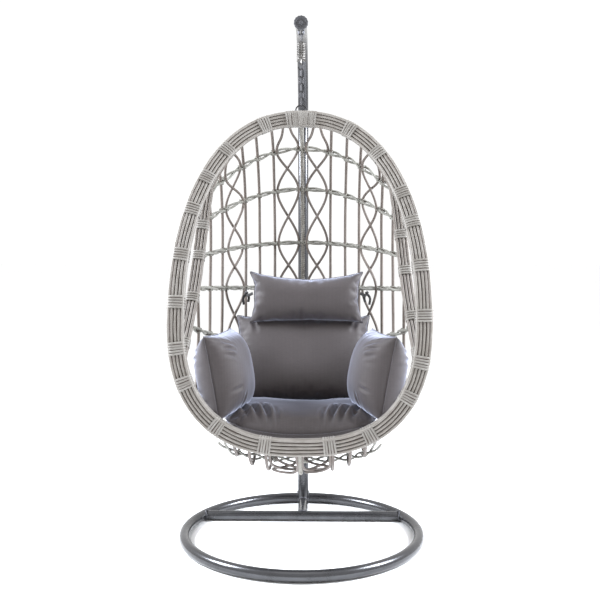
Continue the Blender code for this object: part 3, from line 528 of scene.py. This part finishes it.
def drawbar(name, loop_z, foot_z, across, body, replaced):
    """A bar bent into a loop, with two feet that take hold of the coil's far end."""
    w, turn = DRAWBAR_HALF, 0.003
    side = 1 if loop_z > foot_z else -1
    across = np.array(across, float)
    mid = np.array((0, HANG_Y, foot_z))
    leg = [
        mid + (COIL_RADIUS + COIL_WIRE) * across, mid + (w + turn) * across,
        mid + (w + 0.3 * turn) * across + (0, 0, side * 0.3 * turn), mid + w * across + (0, 0, side * turn),
    ]
    loop = arc((0, HANG_Y, loop_z - side * w), w, 0, 180, 24, across, (0, 0, side))
    other_leg = [HANG_AXIS + (p - HANG_AXIS) * (1 - 2 * across) for p in leg[::-1]]
    path = np.vstack([leg, loop, other_leg])
    lone_tube(name, path, DRAWBAR_WIRE, LOOKS["spring"], body, "spring_steel", [replaced], sides=14)


def make_hanger(level):
    wide, deep, up = (1, 0, 0), (0, 1, 0), (0, 0, 1)
    under = ARM_Z - MAST_UPPER + 0.001
    bend = arc((0, HANG_Y, level["eye"] + EYE_HALF), EYE_HALF, 0, -180, 24, wide, up)
    eye = np.vstack([[(EYE_HALF, HANG_Y, under)], bend, [(-EYE_HALF, HANG_Y, under)]])
    lone_tube("arm_eye_rod", eye, EYE_WIRE, LOOKS["weld"], "stand", "chain_steel", ["arm_eye"], sides=18)
    chain_link("upper_link", level["top_link_top"], level["top_link_bottom"], deep, "top_link",
        "chain_link_upper")
    clear = COIL_WIRE + DRAWBAR_WIRE + GAP
    drawbar("upper_drawbar_rod", level["upper_drawbar"], level["coil_bottom"] - clear, wide,
        "spring_upper", "spring_upper_drawbar")
    drawbar("lower_drawbar_rod", level["lower_drawbar"], level["coil_top"] + clear, deep,
        "spring_lower", "spring_lower_drawbar")
    turns = np.linspace(0, 2 * np.pi * COIL_TURNS, 48 * COIL_TURNS)
    closing = np.clip(np.minimum(turns, turns[-1] - turns) / (2 * np.pi), 0, 1)
    rise = np.cumsum(np.where(closing < 0.9, 0.75, 1.0))
    rise = (rise - rise[0]) / (rise[-1] - rise[0]) * (level["coil_top"] - level["coil_bottom"])
    coil = np.column_stack([
        COIL_RADIUS * np.cos(turns), HANG_Y + COIL_RADIUS * np.sin(turns), level["coil_bottom"] + rise])
    spring = lone_tube("coil_spring_wire", coil, COIL_WIRE, LOOKS["spring"], "spring_upper",
        "spring_steel", ["spring_coil"], sides=12)
    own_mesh(spring)

    w = LINK_HALF
    top, bottom = level["hook_top"] - w, level["hook_bottom"] + w
    tail = np.array((-w, HANG_Y, bottom))
    path = through(np.vstack([
        [tail + (-0.0058, 0, 0.0052), tail + (-0.0030, 0, 0.0016)],
        arc((0, HANG_Y, bottom), w, 205, 360, 10, wide, up),
        arc((0, HANG_Y, top), w, 0, 180, 12, wide, up), [(-w, HANG_Y, top - 0.002)],
    ]), 4)
    lone_tube("hook_rod", path, LINK_WIRE, LOOKS["chain"], "spring_lower", "chain_steel",
        ["snap_hook"], sides=16)
    for i in range(1, LOWER_LINKS + 1):
        chain_link(f"lower_link_{i}", level[f"top_{i}"], level[f"bottom_{i}"], deep if i % 2 else wide,
            "lower_chain" if i < LOWER_LINKS else "link_5", f"chain_link_lower_{i}")
    arch = arc((0, HANG_Y, level["arch"] - ARCH_RADIUS), ARCH_RADIUS, 0, 180, 40, wide, up)
    foot_z = RIM_TOP + 0.02
    path = np.vstack([[(ARCH_RADIUS, HANG_Y, foot_z)], arch, [(-ARCH_RADIUS, HANG_Y, foot_z)]])
    lone_tube("hanger_ring_rod", path, ARCH_WIRE, LOOKS["chain"], "basket", "chain_steel",
        ["basket_hanger_ring"], sides=18)


# ---- basket outline
def rim_half_width(z):
    end, power = (RIM_TOP, RIM_UPPER_POWER) if z >= RIM_WIDEST else (RIM_BOTTOM, RIM_LOWER_POWER)
    share = (z - RIM_WIDEST) / (end - RIM_WIDEST)
    return RIM_HALF * max(0.0, 1 - min(1.0, share) ** power) ** (1 / power)


def rim_y(z):
    drop = (RIM_TOP - z) / (RIM_TOP - RIM_BOTTOM)
    return HANG_Y - RIM_LEAN * math.sin(0.5 * math.pi * min(1.0, max(0.0, drop) / 0.85))


def rim_curve(count):
    """The front rim's centreline, from the top round by +X."""
    points = []
    for turn in np.linspace(0, 2 * math.pi, 1440, endpoint=False):
        upper = math.cos(turn) >= 0
        reach = RIM_TOP - RIM_WIDEST if upper else RIM_WIDEST - RIM_BOTTOM
        power = 2 / (RIM_UPPER_POWER if upper else RIM_LOWER_POWER)
        z = RIM_WIDEST + reach * signed_power(math.cos(turn), power)
        points.append((RIM_HALF * signed_power(math.sin(turn), power), rim_y(z), z))
    return resample(points, count, closed=True)


def swell(z, top):
    """A rise and fall from a height down to the foot of the side rims."""
    share = (top - z) / (top - SIDE_BOTTOM)
    return math.sin(math.pi * share) ** 0.8 if 0 < share < 1 else 0.0


def hoop_point(z, side=1):
    """Where the lattice is tied at a height: the side rim, or the front rim below it."""
    inset = SIDE_INSET * swell(z, SIDE_INSET_TOP)
    return (side * (rim_half_width(z) - inset), rim_y(z) + SIDE_SETBACK * swell(z, SIDE_TOP), z)


def bundle_frame(path, closed):
    along = tangents(path, closed)
    rear = unit(np.array((0, 1.0, 0)) - along[:, 1:2] * along)
    return along, np.cross(rear, along), rear


def wander(count, size, waves, closed):
    """Slow irregular offsets along a strand."""
    t = np.linspace(0, 2 * np.pi, count, endpoint=not closed)
    total = np.zeros(count)
    for _ in range(4):
        total += np.sin(RNG.integers(waves, 4 * waves) * t + RNG.uniform(0, 6.28)) * RNG.uniform(0.3, 1)
    return size * total / 2


def lay_bundle(pile, path, closed, layout, radius, sides=10):
    """Strands side by side along a path. The layout is (outwards, rearwards) for each strand."""
    _, out, rear = bundle_frame(path, closed)
    for u, v in layout:
        n = len(path)
        du, dv = wander(n, 0.0005, 9, closed), wander(n, 0.0004, 9, closed)
        strand = path + (u + du)[:, None] * out + (v + dv)[:, None] * rear
        pile.tube(strand, radius, sides=sides, closed=closed, flat=0.92, normals=rear)


def wrap_turn(pile, path, frames, place, half, slant, width, thick, lift, wave=0.0):
    """One turn of binding round a bundle, at an index of its path."""
    along, out, rear = frames
    i = int(place) % len(path)
    j = (i + 1) % len(path)
    share = place - math.floor(place)
    centre = path[i] * (1 - share) + path[j] * share
    a = np.linspace(0, 2 * np.pi, 56, endpoint=False)
    u = (half[0] + lift) * signed_power(np.cos(a), 0.62)
    v = (half[1] + lift) * signed_power(np.sin(a), 0.62)
    shift = slant * np.sin(a) + wave * np.sin(3 * a + RNG.uniform(0, 6.28))
    loop = centre + u[:, None] * out[i] + v[:, None] * rear[i] + shift[:, None] * along[i]
    normals = u[:, None] * out[i] / half[0] + v[:, None] * rear[i] / half[1]
    pile.tube(loop, width, sides=8, closed=True, flat=thick, normals=normals)


def bind(pile, under, path, closed, place, half, turns=5, pitch=0.0092, slant=0.0):
    """A binding of several turns over a dark sleeve of painted shade, centred at an index of the path."""
    frames = bundle_frame(path, closed)
    step = np.linalg.norm(path[1] - path[0])
    # the dark sleeve under the turns is painted shade in the gaps between them
    wrap_turn(under, path, frames, place, half, slant, 0.46 * turns * pitch, 0.03, 0.0004)
    for k in range(turns):
        offset = (k - 0.5 * (turns - 1)) * pitch / step
        wrap_turn(pile, path, frames, place + offset, half, slant + RNG.normal(0, 0.0004), 0.40 * pitch,
            0.5, 0.0016, RNG.uniform(0, 0.0004))


def nearest(path, side, z=None, x=None):
    """The index of the path at a height on one side, or at a distance from the middle at the bottom."""
    if x is None:
        cost = np.abs(path[:, 2] - z) + 10.0 * (np.sign(path[:, 0]) != side)
    else:
        cost = np.abs(path[:, 0] - x) + 10.0 * (path[:, 2] > RIM_WIDEST)
    return int(np.argmin(cost))


RIM_BINDINGS = {
    -1: (1.490, 1.385, 1.266, 1.106, 0.942, 0.788, 0.672, 0.522),
    1: (1.478, 1.329, 1.222, 1.067, 0.900, 0.742, 0.626, 0.497),
}
RIM_TOP_BINDINGS = (-0.140, 0.185)
RIM_BOTTOM_BINDINGS = (-0.118, 0.102)
SIDE_BINDINGS = {-1: (1.215, 1.099, 0.950, 0.800), 1: (1.180, 1.047, 0.886, 0.770)}
TOP_WRAP, TOP_WRAP_TURNS = 0.116, 15
RIM_STRAND, SIDE_STRAND, ROW_STRAND = 0.0050, 0.0047, 0.0046


def make_rims():
    body, slot = "basket", "rim_strand"
    path = rim_curve(600)
    r = RIM_STRAND
    wide, deep = BUNDLE
    front = np.linspace(-(wide - r), wide - r, 5)
    layout = [(u, -(deep - r)) for u in front] + [(u, deep - r) for u in front]
    layout += [(wide - 0.8 * r, 0.0), (-(wide - 0.8 * r), 0.0)]
    pile = Pile()
    lay_bundle(pile, path, True, layout, r)
    pile.make("rim_strand_bundle", LOOKS["rim"], body, ["front_rim_strands"])
    frames = bundle_frame(path, True)
    # the rim's inner hoop, coloured dark: painted shade between the strands
    core = Pile()
    core.tube(path, wide - 0.006, sides=16, closed=True, flat=0.46, normals=frames[2])

    wraps = Pile()
    for side, heights in RIM_BINDINGS.items():
        for z in heights:
            bind(wraps, core, path, True, nearest(path, side, z=z), BUNDLE, slant=0.0012 * side)
    for x in RIM_BOTTOM_BINDINGS:
        bind(wraps, core, path, True, nearest(path, 0, x=x), BUNDLE)
    for x in RIM_TOP_BINDINGS:
        top = int(np.argmin(np.abs(path[:, 0] - x) + 10.0 * (path[:, 2] < RIM_WIDEST)))
        bind(wraps, core, path, True, top, BUNDLE)
    wraps.make("rim_bindings", LOOKS["binding"], body)
    # a dark sleeve under the top wrap: painted shade between its turns
    wrap_turn(core, path, frames, 0, BUNDLE, 0.0, 0.49 * TOP_WRAP, 0.02, 0.0004)
    core.make("rim_dark_core", LOOKS["core"], body, ["front_rim_frame"])

    crown = Pile()
    step = np.linalg.norm(path[1] - path[0])
    for k in range(TOP_WRAP_TURNS):
        place = (k - 0.5 * (TOP_WRAP_TURNS - 1)) * TOP_WRAP / TOP_WRAP_TURNS / step
        wrap_turn(crown, path, frames, place % len(path), BUNDLE, RNG.normal(0, 0.0010), 0.0036, 0.5,
            0.0016 + RNG.uniform(0, 0.0004), wave=RNG.uniform(0, 0.0006))
    crown.make("top_wrap", LOOKS["binding"], body)

    for side, word in ((-1, "left"), (1, "right")):
        heights = np.linspace(SIDE_TOP - 0.004, SIDE_BOTTOM + 0.004, 400)
        side_path = resample([hoop_point(z, side) for z in heights], 220)
        half_w, half_d = SIDE_BUNDLE
        columns = np.linspace(-(half_w - 0.0045), half_w - 0.0045, 4)
        layout = [(u, -(half_d - 0.0045)) for u in columns] + [(u, half_d - 0.0045) for u in columns]
        layout += [(half_w - 0.004, 0.0), (-(half_w - 0.004), 0.0)]
        pile = Pile()
        lay_bundle(pile, side_path, False, layout, SIDE_STRAND)
        # the side rims' darker wicker is painted shade
        pile.make(f"side_strand_bundle_{word}", LOOKS["side_rim"], body, [f"side_rim_{word}"])
        # the side bundle's core, coloured dark: painted shade between the strands
        core = Pile()
        _, _, rear = bundle_frame(side_path, False)
        core.tube(side_path, half_w - 0.005, sides=12, flat=0.5, normals=rear)
        wraps = Pile()
        for z in SIDE_BINDINGS[side]:
            place = int(np.argmin(np.abs(side_path[:, 2] - z)))
            bind(wraps, core, side_path, False, place, SIDE_BUNDLE, 4)
        core.make(f"side_dark_core_{word}", LOOKS["core"], body)
        wraps.make(f"side_bindings_{word}", LOOKS["binding"], body)


# ---- basket lattice
def back_point(turn):
    """(y, z) of the middle of the back; turn 0 is its top, 90 degrees its rear, 180 its lowest point."""
    across, up = math.sin(turn), math.cos(turn)
    if up >= 0:
        power = 2 / BACK_UPPER_POWER
        return (HANG_Y + (BACK_Y - HANG_Y) * abs(across) ** power,
            BACK_WIDEST + (BACK_TOP - BACK_WIDEST) * up ** power)
    if across >= 0:
        power = 2 / BACK_LOWER_POWER
        return (BELLY_Y + (BACK_Y - BELLY_Y) * across ** power,
            BACK_WIDEST - (BACK_WIDEST - BELLY_Z) * abs(up) ** power)
    return BELLY_Y - BELLY_REACH * abs(across), BELLY_Z + BELLY_RISE * (1 - abs(up))


def back_turn(z):
    if z >= BACK_WIDEST:
        share = (z - BACK_WIDEST) / (BACK_TOP - BACK_WIDEST)
        return math.acos(min(1.0, share) ** (0.5 * BACK_UPPER_POWER))
    share = (BACK_WIDEST - z) / (BACK_WIDEST - BELLY_Z)
    return math.pi - math.acos(min(1.0, share) ** (0.5 * BACK_LOWER_POWER))


def stations():
    """The levels that shape the lattice: (height at the side, turn at the back, bow)."""
    rows = [(side, back_turn(back), bow) for side, back, bow in ROWS]
    crown = [(0.55 * RIM_TOP + 0.45 * ROWS[0][0], 0.5 * rows[0][1], ROWS[0][2])]
    belly = [(RIM_BOTTOM + rise, math.radians(turn), ROWS[-1][2])
        for rise, turn in ((0.030, 186), (0.010, 214))]
    return crown + rows + belly


LEVELS = stations()


def level_point(level, x):
    """The lattice's surface on one level at a distance from the middle, or None outside it."""
    side_z, turn, bow = level
    edge = hoop_point(side_z)
    if abs(x) >= 0.985 * edge[0]:
        return None
    share = math.cos(math.asin(x / edge[0]))
    y, z = back_point(turn)
    return np.array((x, edge[1] + (y - edge[1]) * share, edge[2] + (z - edge[2]) * share ** bow))


def hoop_end(x, upper):
    """The point of the hoop, above or below its widest, at a distance from the middle."""
    low, high = (RIM_WIDEST, RIM_TOP) if upper else (RIM_BOTTOM, RIM_WIDEST)
    for _ in range(50):
        z = 0.5 * (low + high)
        if (abs(hoop_point(z)[0]) > abs(x)) == upper:
            low = z
        else:
            high = z
    return np.array((x, *hoop_point(0.5 * (low + high))[1:]))


def outward(i, x):
    """The lattice's outward normal on a level."""
    side = 1 if x <= 0 else -1
    here = level_point(LEVELS[i], x)
    along = side * (level_point(LEVELS[i], x + side * 0.01) - here)
    for other in (i + 1, i - 1):
        if 0 <= other < len(LEVELS):
            point = level_point(LEVELS[other], x)
            if point is not None:
                normal = unit(np.cross(along, (point - here) * (1 if other > i else -1)))
                inside = np.array((0.0, -0.12, 1.0)) - here
                return normal if normal @ inside < 0 else -normal
    return np.array((0.0, 1.0, 0.0))


def strand_path(x, swing=0.0, phase=1, inset=0.0):
    """An upright from the top of the hoop to its foot; one that swings changes side on every level."""
    turns = [CROWN_OPENING] + [1 if i % 2 else -1 for i in range(1, len(LEVELS))]
    places = [x + phase * swing * turn for turn in turns]
    inside = [i for i, level in enumerate(LEVELS) if level_point(level, abs(x) + swing) is not None]
    points = [hoop_end(x + phase * min(swing, EIGHT + AIR), True)]
    points += [level_point(LEVELS[i], places[i]) - inset * outward(i, places[i]) for i in inside]
    points.append(hoop_end(places[inside[-1]], False))
    return through(points)


def eight_columns():
    """(word, place, middle, swing, last row) of each figure-eight column."""
    for side, word in ((-1, "left"), (1, "right")):
        for (low, high), last, place in zip(EIGHT_COLUMNS, EIGHT_LAST_ROW, ("inner", "outer")):
            low_edge = low + (RIB if low == 0 else STAKE)
            swing = 0.5 * (high - STAKE - low_edge) - EIGHT - 1.5 * AIR
            yield word, place, side * 0.5 * (low_edge + high - STAKE), swing, last


def row_crossings(index):
    """Where the strands cross a row, from left to right."""
    edge = 0.985 * hoop_point(LEVELS[index + 1][0])[0]
    places = [0.0] + [s * x for x in STAKE_X for s in (-1, 1)]
    for _, _, middle, swing, last in eight_columns():
        if index + 1 <= last:
            places += [middle - swing, middle + swing]
    return sorted(p for p in places if abs(p) < edge)


def row_pair(pile, index):
    """Two strands that twine past each other, one in front and one behind each upright."""
    strand = ROW_STRAND
    edge = hoop_point(LEVELS[index + 1][0])[0]
    ends = [-edge] + row_crossings(index) + [edge]
    xs = 0.984 * edge * np.sin(0.5 * np.pi * np.linspace(-1, 1, 260))
    base = np.array([level_point(LEVELS[index + 1], x) for x in xs])
    normal = np.array([outward(index + 1, x) for x in xs])
    for i in range(3, len(normal) - 3):
        normal[i] = unit(normal[i - 3:i + 4].sum(0))
    phase = np.interp(xs, ends, np.pi * np.arange(len(ends)))
    reach = STAKE + strand + 0.0002
    along = tangents(base, False)
    vertical = np.cross(along, normal)
    for side in (1, -1):
        swing = side * np.cos(phase)[:, None] * normal * reach
        lift = side * np.sin(phase)[:, None] * vertical * (strand + 0.0004)
        pile.tube(base + swing + lift, strand, sides=8, tone=RNG.uniform(0.2, 1.0))


def knot(pile, centre, normal, upright, size, width):
    """A crossed tie round a meeting of strands."""
    across = unit(np.cross(normal, upright))
    for slope in (1, -1):
        lean = unit(across + slope * 0.9 * upright)
        a = np.linspace(0, 2 * np.pi, 20, endpoint=False)[:, None]
        loop = centre + size * (np.cos(a) * lean + np.sin(a) * normal)
        pile.tube(loop, width, sides=6, closed=True)


def make_lattice():
    body = "basket"
    ties = Pile()
    for side, word in ((-1, "left"), (1, "right")):
        for i, x in enumerate(STAKE_X):
            path = resample(strand_path(side * x), 150)
            path += wander(150, 0.0006, 2, False)[:, None] * np.array((1.0, 0, 0))
            lone_tube(f"stake_strand_{word}_{i + 1}", path, STAKE + 0.0006, LOOKS["stake"], body,
                "lattice_stake", [f"stake_{word}_{i + 1}"], sides=10)
    for word, place, middle, swing, _ in eight_columns():
        for phase, letter, inset in ((1, "a", 0.0), (-1, "b", 2 * EIGHT + 0.0006)):
            full = resample(strand_path(middle, swing, phase, inset), 190)
            name = f"{word}_{place}_{letter}"
            lone_tube("eight_strand_" + name, full, EIGHT + 0.0006, LOOKS["stake"], body,
                "lattice_stake", ["eight_" + name], sides=10)
    for index in range(len(ROWS)):
        pile = Pile()
        row_pair(pile, index)
        pile.make(f"twined_row_{index + 1}", LOOKS["row"], body, [f"weave_row_{index + 1}"])
        for x in row_crossings(index):
            here = level_point(LEVELS[index + 1], x)
            knot(ties, here, outward(index + 1, x), UP, STAKE + 0.0072, 0.0017)
    ties.make("crossing_ties", LOOKS["row"], body)

    rib = resample(strand_path(0.0, inset=RIB - STAKE), 240)
    # the rib's core, coloured dark: painted shade between the turns of its wrapping
    lone_tube("rib_core", rib, RIB - 0.0022, LOOKS["core"], body, "rib_wrap", ["back_rib"], sides=14)
    fine = resample(rib, 3600)
    along = tangents(fine, False)
    flat = unit(np.cross(along, (1.0, 0, 0)))
    across = np.cross(along, flat)
    turns = np.linspace(0, 2 * np.pi * 260, 3600)[:, None]
    spiral = fine + (RIB - 0.0018) * (np.cos(turns) * across + np.sin(turns) * flat)
    lone_tube("rib_wrapping", spiral, 0.0034, LOOKS["rib"], body, "rib_wrap", sides=6, flat=0.55,
        normals=spiral - fine)


# ---- cushions
CLOTH_FRAMES = 20


def border(nx, ny):
    """Grid cells round the edge, in order."""
    there = [(i, 0) for i in range(nx)] + [(nx, j) for j in range(ny)]
    return there + [(nx - i, ny - j) for i, j in there]


def sewn_form(half, spacing, pull, roundness, pucker, seed):
    """Two filled panels sewn edge to edge: edges drawn in between the corners, gathers along the seam."""
    rng = np.random.default_rng(seed)
    nx, ny = round(2 * half[0] / spacing), round(2 * half[1] / spacing)
    gx, gy = np.meshgrid(np.linspace(-1, 1, nx + 1), np.linspace(-1, 1, ny + 1), indexing="ij")
    box = np.maximum(np.abs(gx), np.abs(gy))
    trim = 1.0
    crown = ((1 - np.abs(gx) ** 2.6) * (1 - np.abs(gy) ** 2.6)) ** 0.52
    if roundness:
        norm = (np.abs(gx) ** roundness + np.abs(gy) ** roundness) ** (1 / roundness)
        trim = 1 + (box / np.maximum(norm, 1e-9) - 1) * box ** 2
        crown = (1 - box ** 2.6) ** 0.52
    x = gx * half[0] * trim * (1 - pull * (1 - gy ** 2) * gx ** 2)
    y = gy * half[1] * trim * (1 - pull * (1 - gx ** 2) * gy ** 2)
    from_side, from_end = (1 - np.abs(gx)) * half[0], (1 - np.abs(gy)) * half[1]
    edge_gap = np.minimum(from_side, from_end)
    along = np.where(from_side < from_end, y, x)
    layers = []
    for face in (1, -1):
        gather = np.zeros_like(x)
        for _ in range(7):
            wave = 2 * np.pi / rng.uniform(0.022, 0.060)
            gather += np.cos(wave * along + rng.uniform(0, 6.28)) * rng.uniform(0.4, 1.0)
        drift = np.zeros_like(x)
        for _ in range(5):
            kx, ky = rng.normal(0, 16, 2)
            drift += np.cos(kx * x + ky * y + rng.uniform(0, 6.28))
        near_seam = np.exp(-edge_gap / 0.022) * np.clip(edge_gap / 0.006, 0, 1)
        bump = pucker * gather * near_seam + 0.0010 * drift
        layers.append(face * (crown * half[2] + bump * np.clip(edge_gap / 0.01, 0, 1)))
    cell = np.arange((nx + 1) * (ny + 1)).reshape(nx + 1, ny + 1)
    inner = np.zeros_like(cell, bool)
    inner[1:-1, 1:-1] = True
    low = cell.copy()
    low[inner] = cell.size + np.arange(inner.sum())
    top = np.stack([x, y, layers[0]], -1).reshape(-1, 3)
    bottom = np.stack([x, y, layers[1]], -1)[inner]
    faces = []
    for i in range(nx):
        for j in range(ny):
            corners = ((i, j), (i + 1, j), (i + 1, j + 1), (i, j + 1))
            faces.append(tuple(int(cell[c]) for c in corners))
            faces.append(tuple(int(low[c]) for c in reversed(corners)))
    seam = [int(cell[c]) for c in border(nx, ny)]
    return np.vstack([top, bottom]), faces, seam


def puffed(name, half, spacing, seed, pull, roundness=0, pucker=0.0011, cap=0.014):
    """A cushion cover with its filling pressing out; no point moves further than the cap."""
    start, faces, seam = sewn_form(half, spacing, pull, roundness, pucker, seed)
    data = bpy.data.meshes.new(name)
    data.from_pydata(start.tolist(), [], faces)
    piece = placed(name, data)
    cloth = piece.modifiers.new("cloth", "CLOTH")
    settings = cloth.settings
    settings.quality = 6
    settings.mass = 0.3
    settings.tension_stiffness = settings.compression_stiffness = 25
    settings.shear_stiffness = 10
    settings.bending_stiffness = 0.2
    settings.use_pressure = True
    settings.uniform_pressure_force = 4
    settings.shrink_min = -0.035
    settings.effector_weights.gravity = 0
    cloth.collision_settings.use_collision = False
    scene = bpy.context.scene
    for number in range(1, CLOTH_FRAMES + 1):
        scene.frame_set(number)
    shape = piece.evaluated_get(bpy.context.evaluated_depsgraph_get()).to_mesh()
    moved = np.zeros(len(data.vertices) * 3)
    shape.vertices.foreach_get("co", moved)
    piece.to_mesh_clear()
    piece.modifiers.remove(cloth)
    scene.frame_set(1)
    step = moved.reshape(-1, 3) - start
    step /= np.sqrt(1 + np.sum(step ** 2, axis=1, keepdims=True) / cap ** 2)
    return piece, start + step, seam


def settle(piece, co, seam, turn, centre, replaced):
    """Turn and place a cushion, close its seam with a welt, and finish it."""
    co = co @ np.array(turn.to_3x3()).T + np.array(centre)
    piece.data.vertices.foreach_set("co", co.astype(np.float32).ravel())
    piece.data.update()
    piece.data.materials.append(LOOKS["cloth"])
    piece.data.shade_smooth()
    smooth = piece.modifiers.new("smooth", "SUBSURF")
    smooth.levels = smooth.render_levels = 1
    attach(piece, "basket")
    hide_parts(replaced)
    loop = co[seam]
    loop = (np.roll(loop, 1, 0) + 2 * loop + np.roll(loop, -1, 0)) / 4
    lone_tube(piece.name + "_seam", loop, 0.0015, LOOKS["cloth"], "basket", "cushion_fabric",
        closed=True, sides=6)


def fold(co, start, end, width, depth, face=1):
    """Press a crease between two points of a cushion's face; a ridge if the depth is negative."""
    start, end = np.array(start), np.array(end)
    length = np.linalg.norm(end - start)
    along = (end - start) / length
    rel = co[:, :2] - start
    s = rel @ along
    away = rel @ np.array((-along[1], along[0]))
    taper = np.clip(np.minimum(s, length - s) / (0.35 * length), 0, 1)
    side = co[:, 2] * face > 0
    lips = np.exp(-((np.abs(away) - 2 * width) / width) ** 2)
    press = depth * taper * (np.exp(-(away / width) ** 2) - 0.5 * lips)
    co[side, 2] -= face * press[side]


def turned_by(degrees, axis):
    return Matrix.Rotation(math.radians(degrees), 4, axis)


def make_back_cushion():
    half = (0.268, 0.182, 0.082)
    piece, co, seam = puffed("back_cushion_cover", half, 0.0072, 3, pull=0.025, pucker=0.0018)
    co[:, 2] += 0.50 * co[:, 0] ** 2 - 0.010
    top = np.clip(co[:, 1] / half[1], 0, 1)
    co[:, 1] += 0.009 * top * np.cos(co[:, 0] / half[0] * math.pi)
    for x, lean in ((-0.20, 0.02), (0.21, -0.02)):
        fold(co, (x, 0.165), (x + lean, 0.09), 0.008, 0.006)
    settle(piece, co, seam, turned_by(74, "X"), (0.006, 0.066, 0.685), "back_cushion")


def make_head_pillow():
    half = (0.222, 0.106, 0.050)
    piece, co, seam = puffed("head_pillow_cover", half, 0.0058, 5, pull=0.04, pucker=0.0020)
    top = np.clip(co[:, 1] / 0.10, 0, 1)
    co[:, 1] -= 0.022 * top * (1 - (co[:, 0] / half[0]) ** 2)
    co[:, 2] += 0.35 * co[:, 0] ** 2
    gathers = ((-0.004, 0.05, 0.008), (0.012, 0.04, 0.005), (-0.055, 0.03, 0.004), (0.075, 0.03, 0.003))
    for x, reach, depth in gathers:
        fold(co, (x, 0.092), (1.2 * x, 0.085 - reach), 0.0055, depth)
    settle(piece, co, seam, turned_by(80, "X"), (0.018, 0.064, 0.930), "head_pillow")


def make_seat():
    half = (0.292, 0.235, 0.064)
    piece, co, seam = puffed("seat_cushion_cover", half, 0.0072, 11, pull=0.0, roundness=3.4)
    creases = (
        ((0.105, -0.215), (0.150, -0.03), 0.009, 0.016), ((0.140, -0.205), (0.195, -0.05), 0.008, 0.013),
        ((0.178, -0.185), (0.240, -0.04), 0.009, 0.012), ((0.078, -0.220), (0.092, -0.10), 0.007, 0.008),
    )
    for side in (-1, 1):
        for start, end, width, depth in creases:
            fold(co, (side * start[0], start[1]), (side * end[0], end[1]), width, depth)
    co[:, 2] += 0.50 * co[:, 0] ** 2
    settle(piece, co, seam, turned_by(-2, "X"), (0, -0.130, 0.470), "seat_cushion")


def make_arm_cushions():
    upright = Matrix(((0, 0, 1, 0), (1, 0, 0, 0), (0, 1, 0, 0), (0, 0, 0, 1)))
    half = (0.142, 0.148, 0.092)
    creases = (
        (-0.12, 0.10, 0.07, -0.015, 0.008), (-0.12, 0.075, 0.06, -0.02, 0.006),
        (-0.125, -0.06, 0.06, 0.01, 0.007), (-0.05, -0.13, 0.01, 0.06, 0.005),
        (-0.11, 0.125, 0.08, -0.03, 0.006),
    )
    for side, word, seed in ((-1, "left", 17), (1, "right", 23)):
        piece, co, seam = puffed(f"arm_cushion_cover_{word}", half, 0.0062, seed, pull=0.05,
            pucker=0.0016, cap=0.012)
        for x, y, dx, dy, depth in creases:
            for face in (1, -1):
                fold(co, (x, y), (x + dx, y + dy), 0.006, depth, face)
        turn = turned_by(side * 14, "Z") @ turned_by(side * 11, "Y") @ upright
        settle(piece, co, seam, turn, (side * 0.279, -0.195, 0.670), f"arm_cushion_{word}")


def make_ties():
    for side, word in ((-1, "left"), (1, "right")):
        start = np.array((0.018 + side * 0.214, 0.078, 0.945))
        path = through([
            start, start + (side * 0.018, 0.010, -0.008), start + (side * 0.032, 0.045, 0.002),
            start + (side * 0.030, 0.085, 0.006),
        ], 10)
        tied = path[16]
        strap = Pile()
        facing = np.tile((side * 0.3, -1.0, 0.2), (len(path), 1))
        strap.tube(path, 0.006, sides=8, flat=0.16, normals=facing)
        knot(strap, tied, np.array((0.0, -1.0, 0.0)), UP, 0.006, 0.0035)
        for drop, lean in ((0.045, 0.012), (0.034, -0.010)):
            end = tied + (side * 0.8 * lean, -0.004, -drop)
            hang = through([tied, tied + (side * lean, -0.006, -0.4 * drop), end], 8)
            facing = np.tile((0.2, -1.0, 0.0), (len(hang), 1))
            strap.tube(hang, 0.005, sides=8, flat=0.16, normals=facing)
        strap.make(f"tie_strap_{word}", LOOKS["tie"], "basket", [f"pillow_tie_{word}"])


# ---- stage
def make_stage():
    floor = bpy.data.meshes.new("floor")
    corners = [(30 * x, 30 * y, 0) for x, y in ((-1, -1), (1, -1), (1, 1), (-1, 1))]
    floor.from_pydata(corners, [], [(0, 1, 2, 3)])
    ground = placed("floor", floor)
    ground.location.z = -0.0005
    pale, _, _ = shader_of("pale_floor", (0.95, 0.95, 0.95), 0.9)
    floor.materials.append(pale)

    world = bpy.data.worlds.new("studio")
    world.use_nodes = True
    backdrop = world.node_tree.nodes["Background"]
    backdrop.inputs["Color"].default_value = (1.0, 1.0, 1.0, 1)
    backdrop.inputs["Strength"].default_value = 1.055
    bpy.context.scene.world = world
    bpy.context.scene.view_settings.view_transform = "Standard"
    lights = (
        ("key_left", (-2.3, -0.2, 2.1), (0, -0.15, 0.7), 1.1, 200, (0.88, 0.93, 1.0)),
        ("key_right", (2.3, -0.2, 2.1), (0, -0.15, 0.7), 1.1, 200, (0.88, 0.93, 1.0)),
        ("top", (0.0, -1.2, 3.4), (0, 0, 1.0), 2.2, 12, (1.0, 1.0, 1.0)),
    )
    for name, place, aim, width, power, colour in lights:
        data = bpy.data.lights.new(name, "AREA")
        data.size, data.energy, data.color = width, power, colour
        lamp = placed(name, data)
        lamp.location = place
        lamp.rotation_euler = (Vector(aim) - Vector(place)).to_track_quat("-Z", "Y").to_euler()

    data = bpy.data.cameras.new("camera")
    data.sensor_width, data.lens = 36, 53.87
    data.shift_x, data.shift_y = -0.0027, -0.1128
    camera = placed("camera", data)
    azimuth, distance = math.radians(1.0), 3.5
    camera.location = (distance * math.sin(azimuth), -distance * math.cos(azimuth), 1.188)
    camera.rotation_euler = (math.radians(90), 0, azimuth)
    bpy.context.scene.camera = camera


make_stage()
make_stand()
make_hanger(hanger_levels())
make_rims()
make_lattice()
make_back_cushion()
make_head_pillow()
make_seat()
make_arm_cushions()
make_ties()
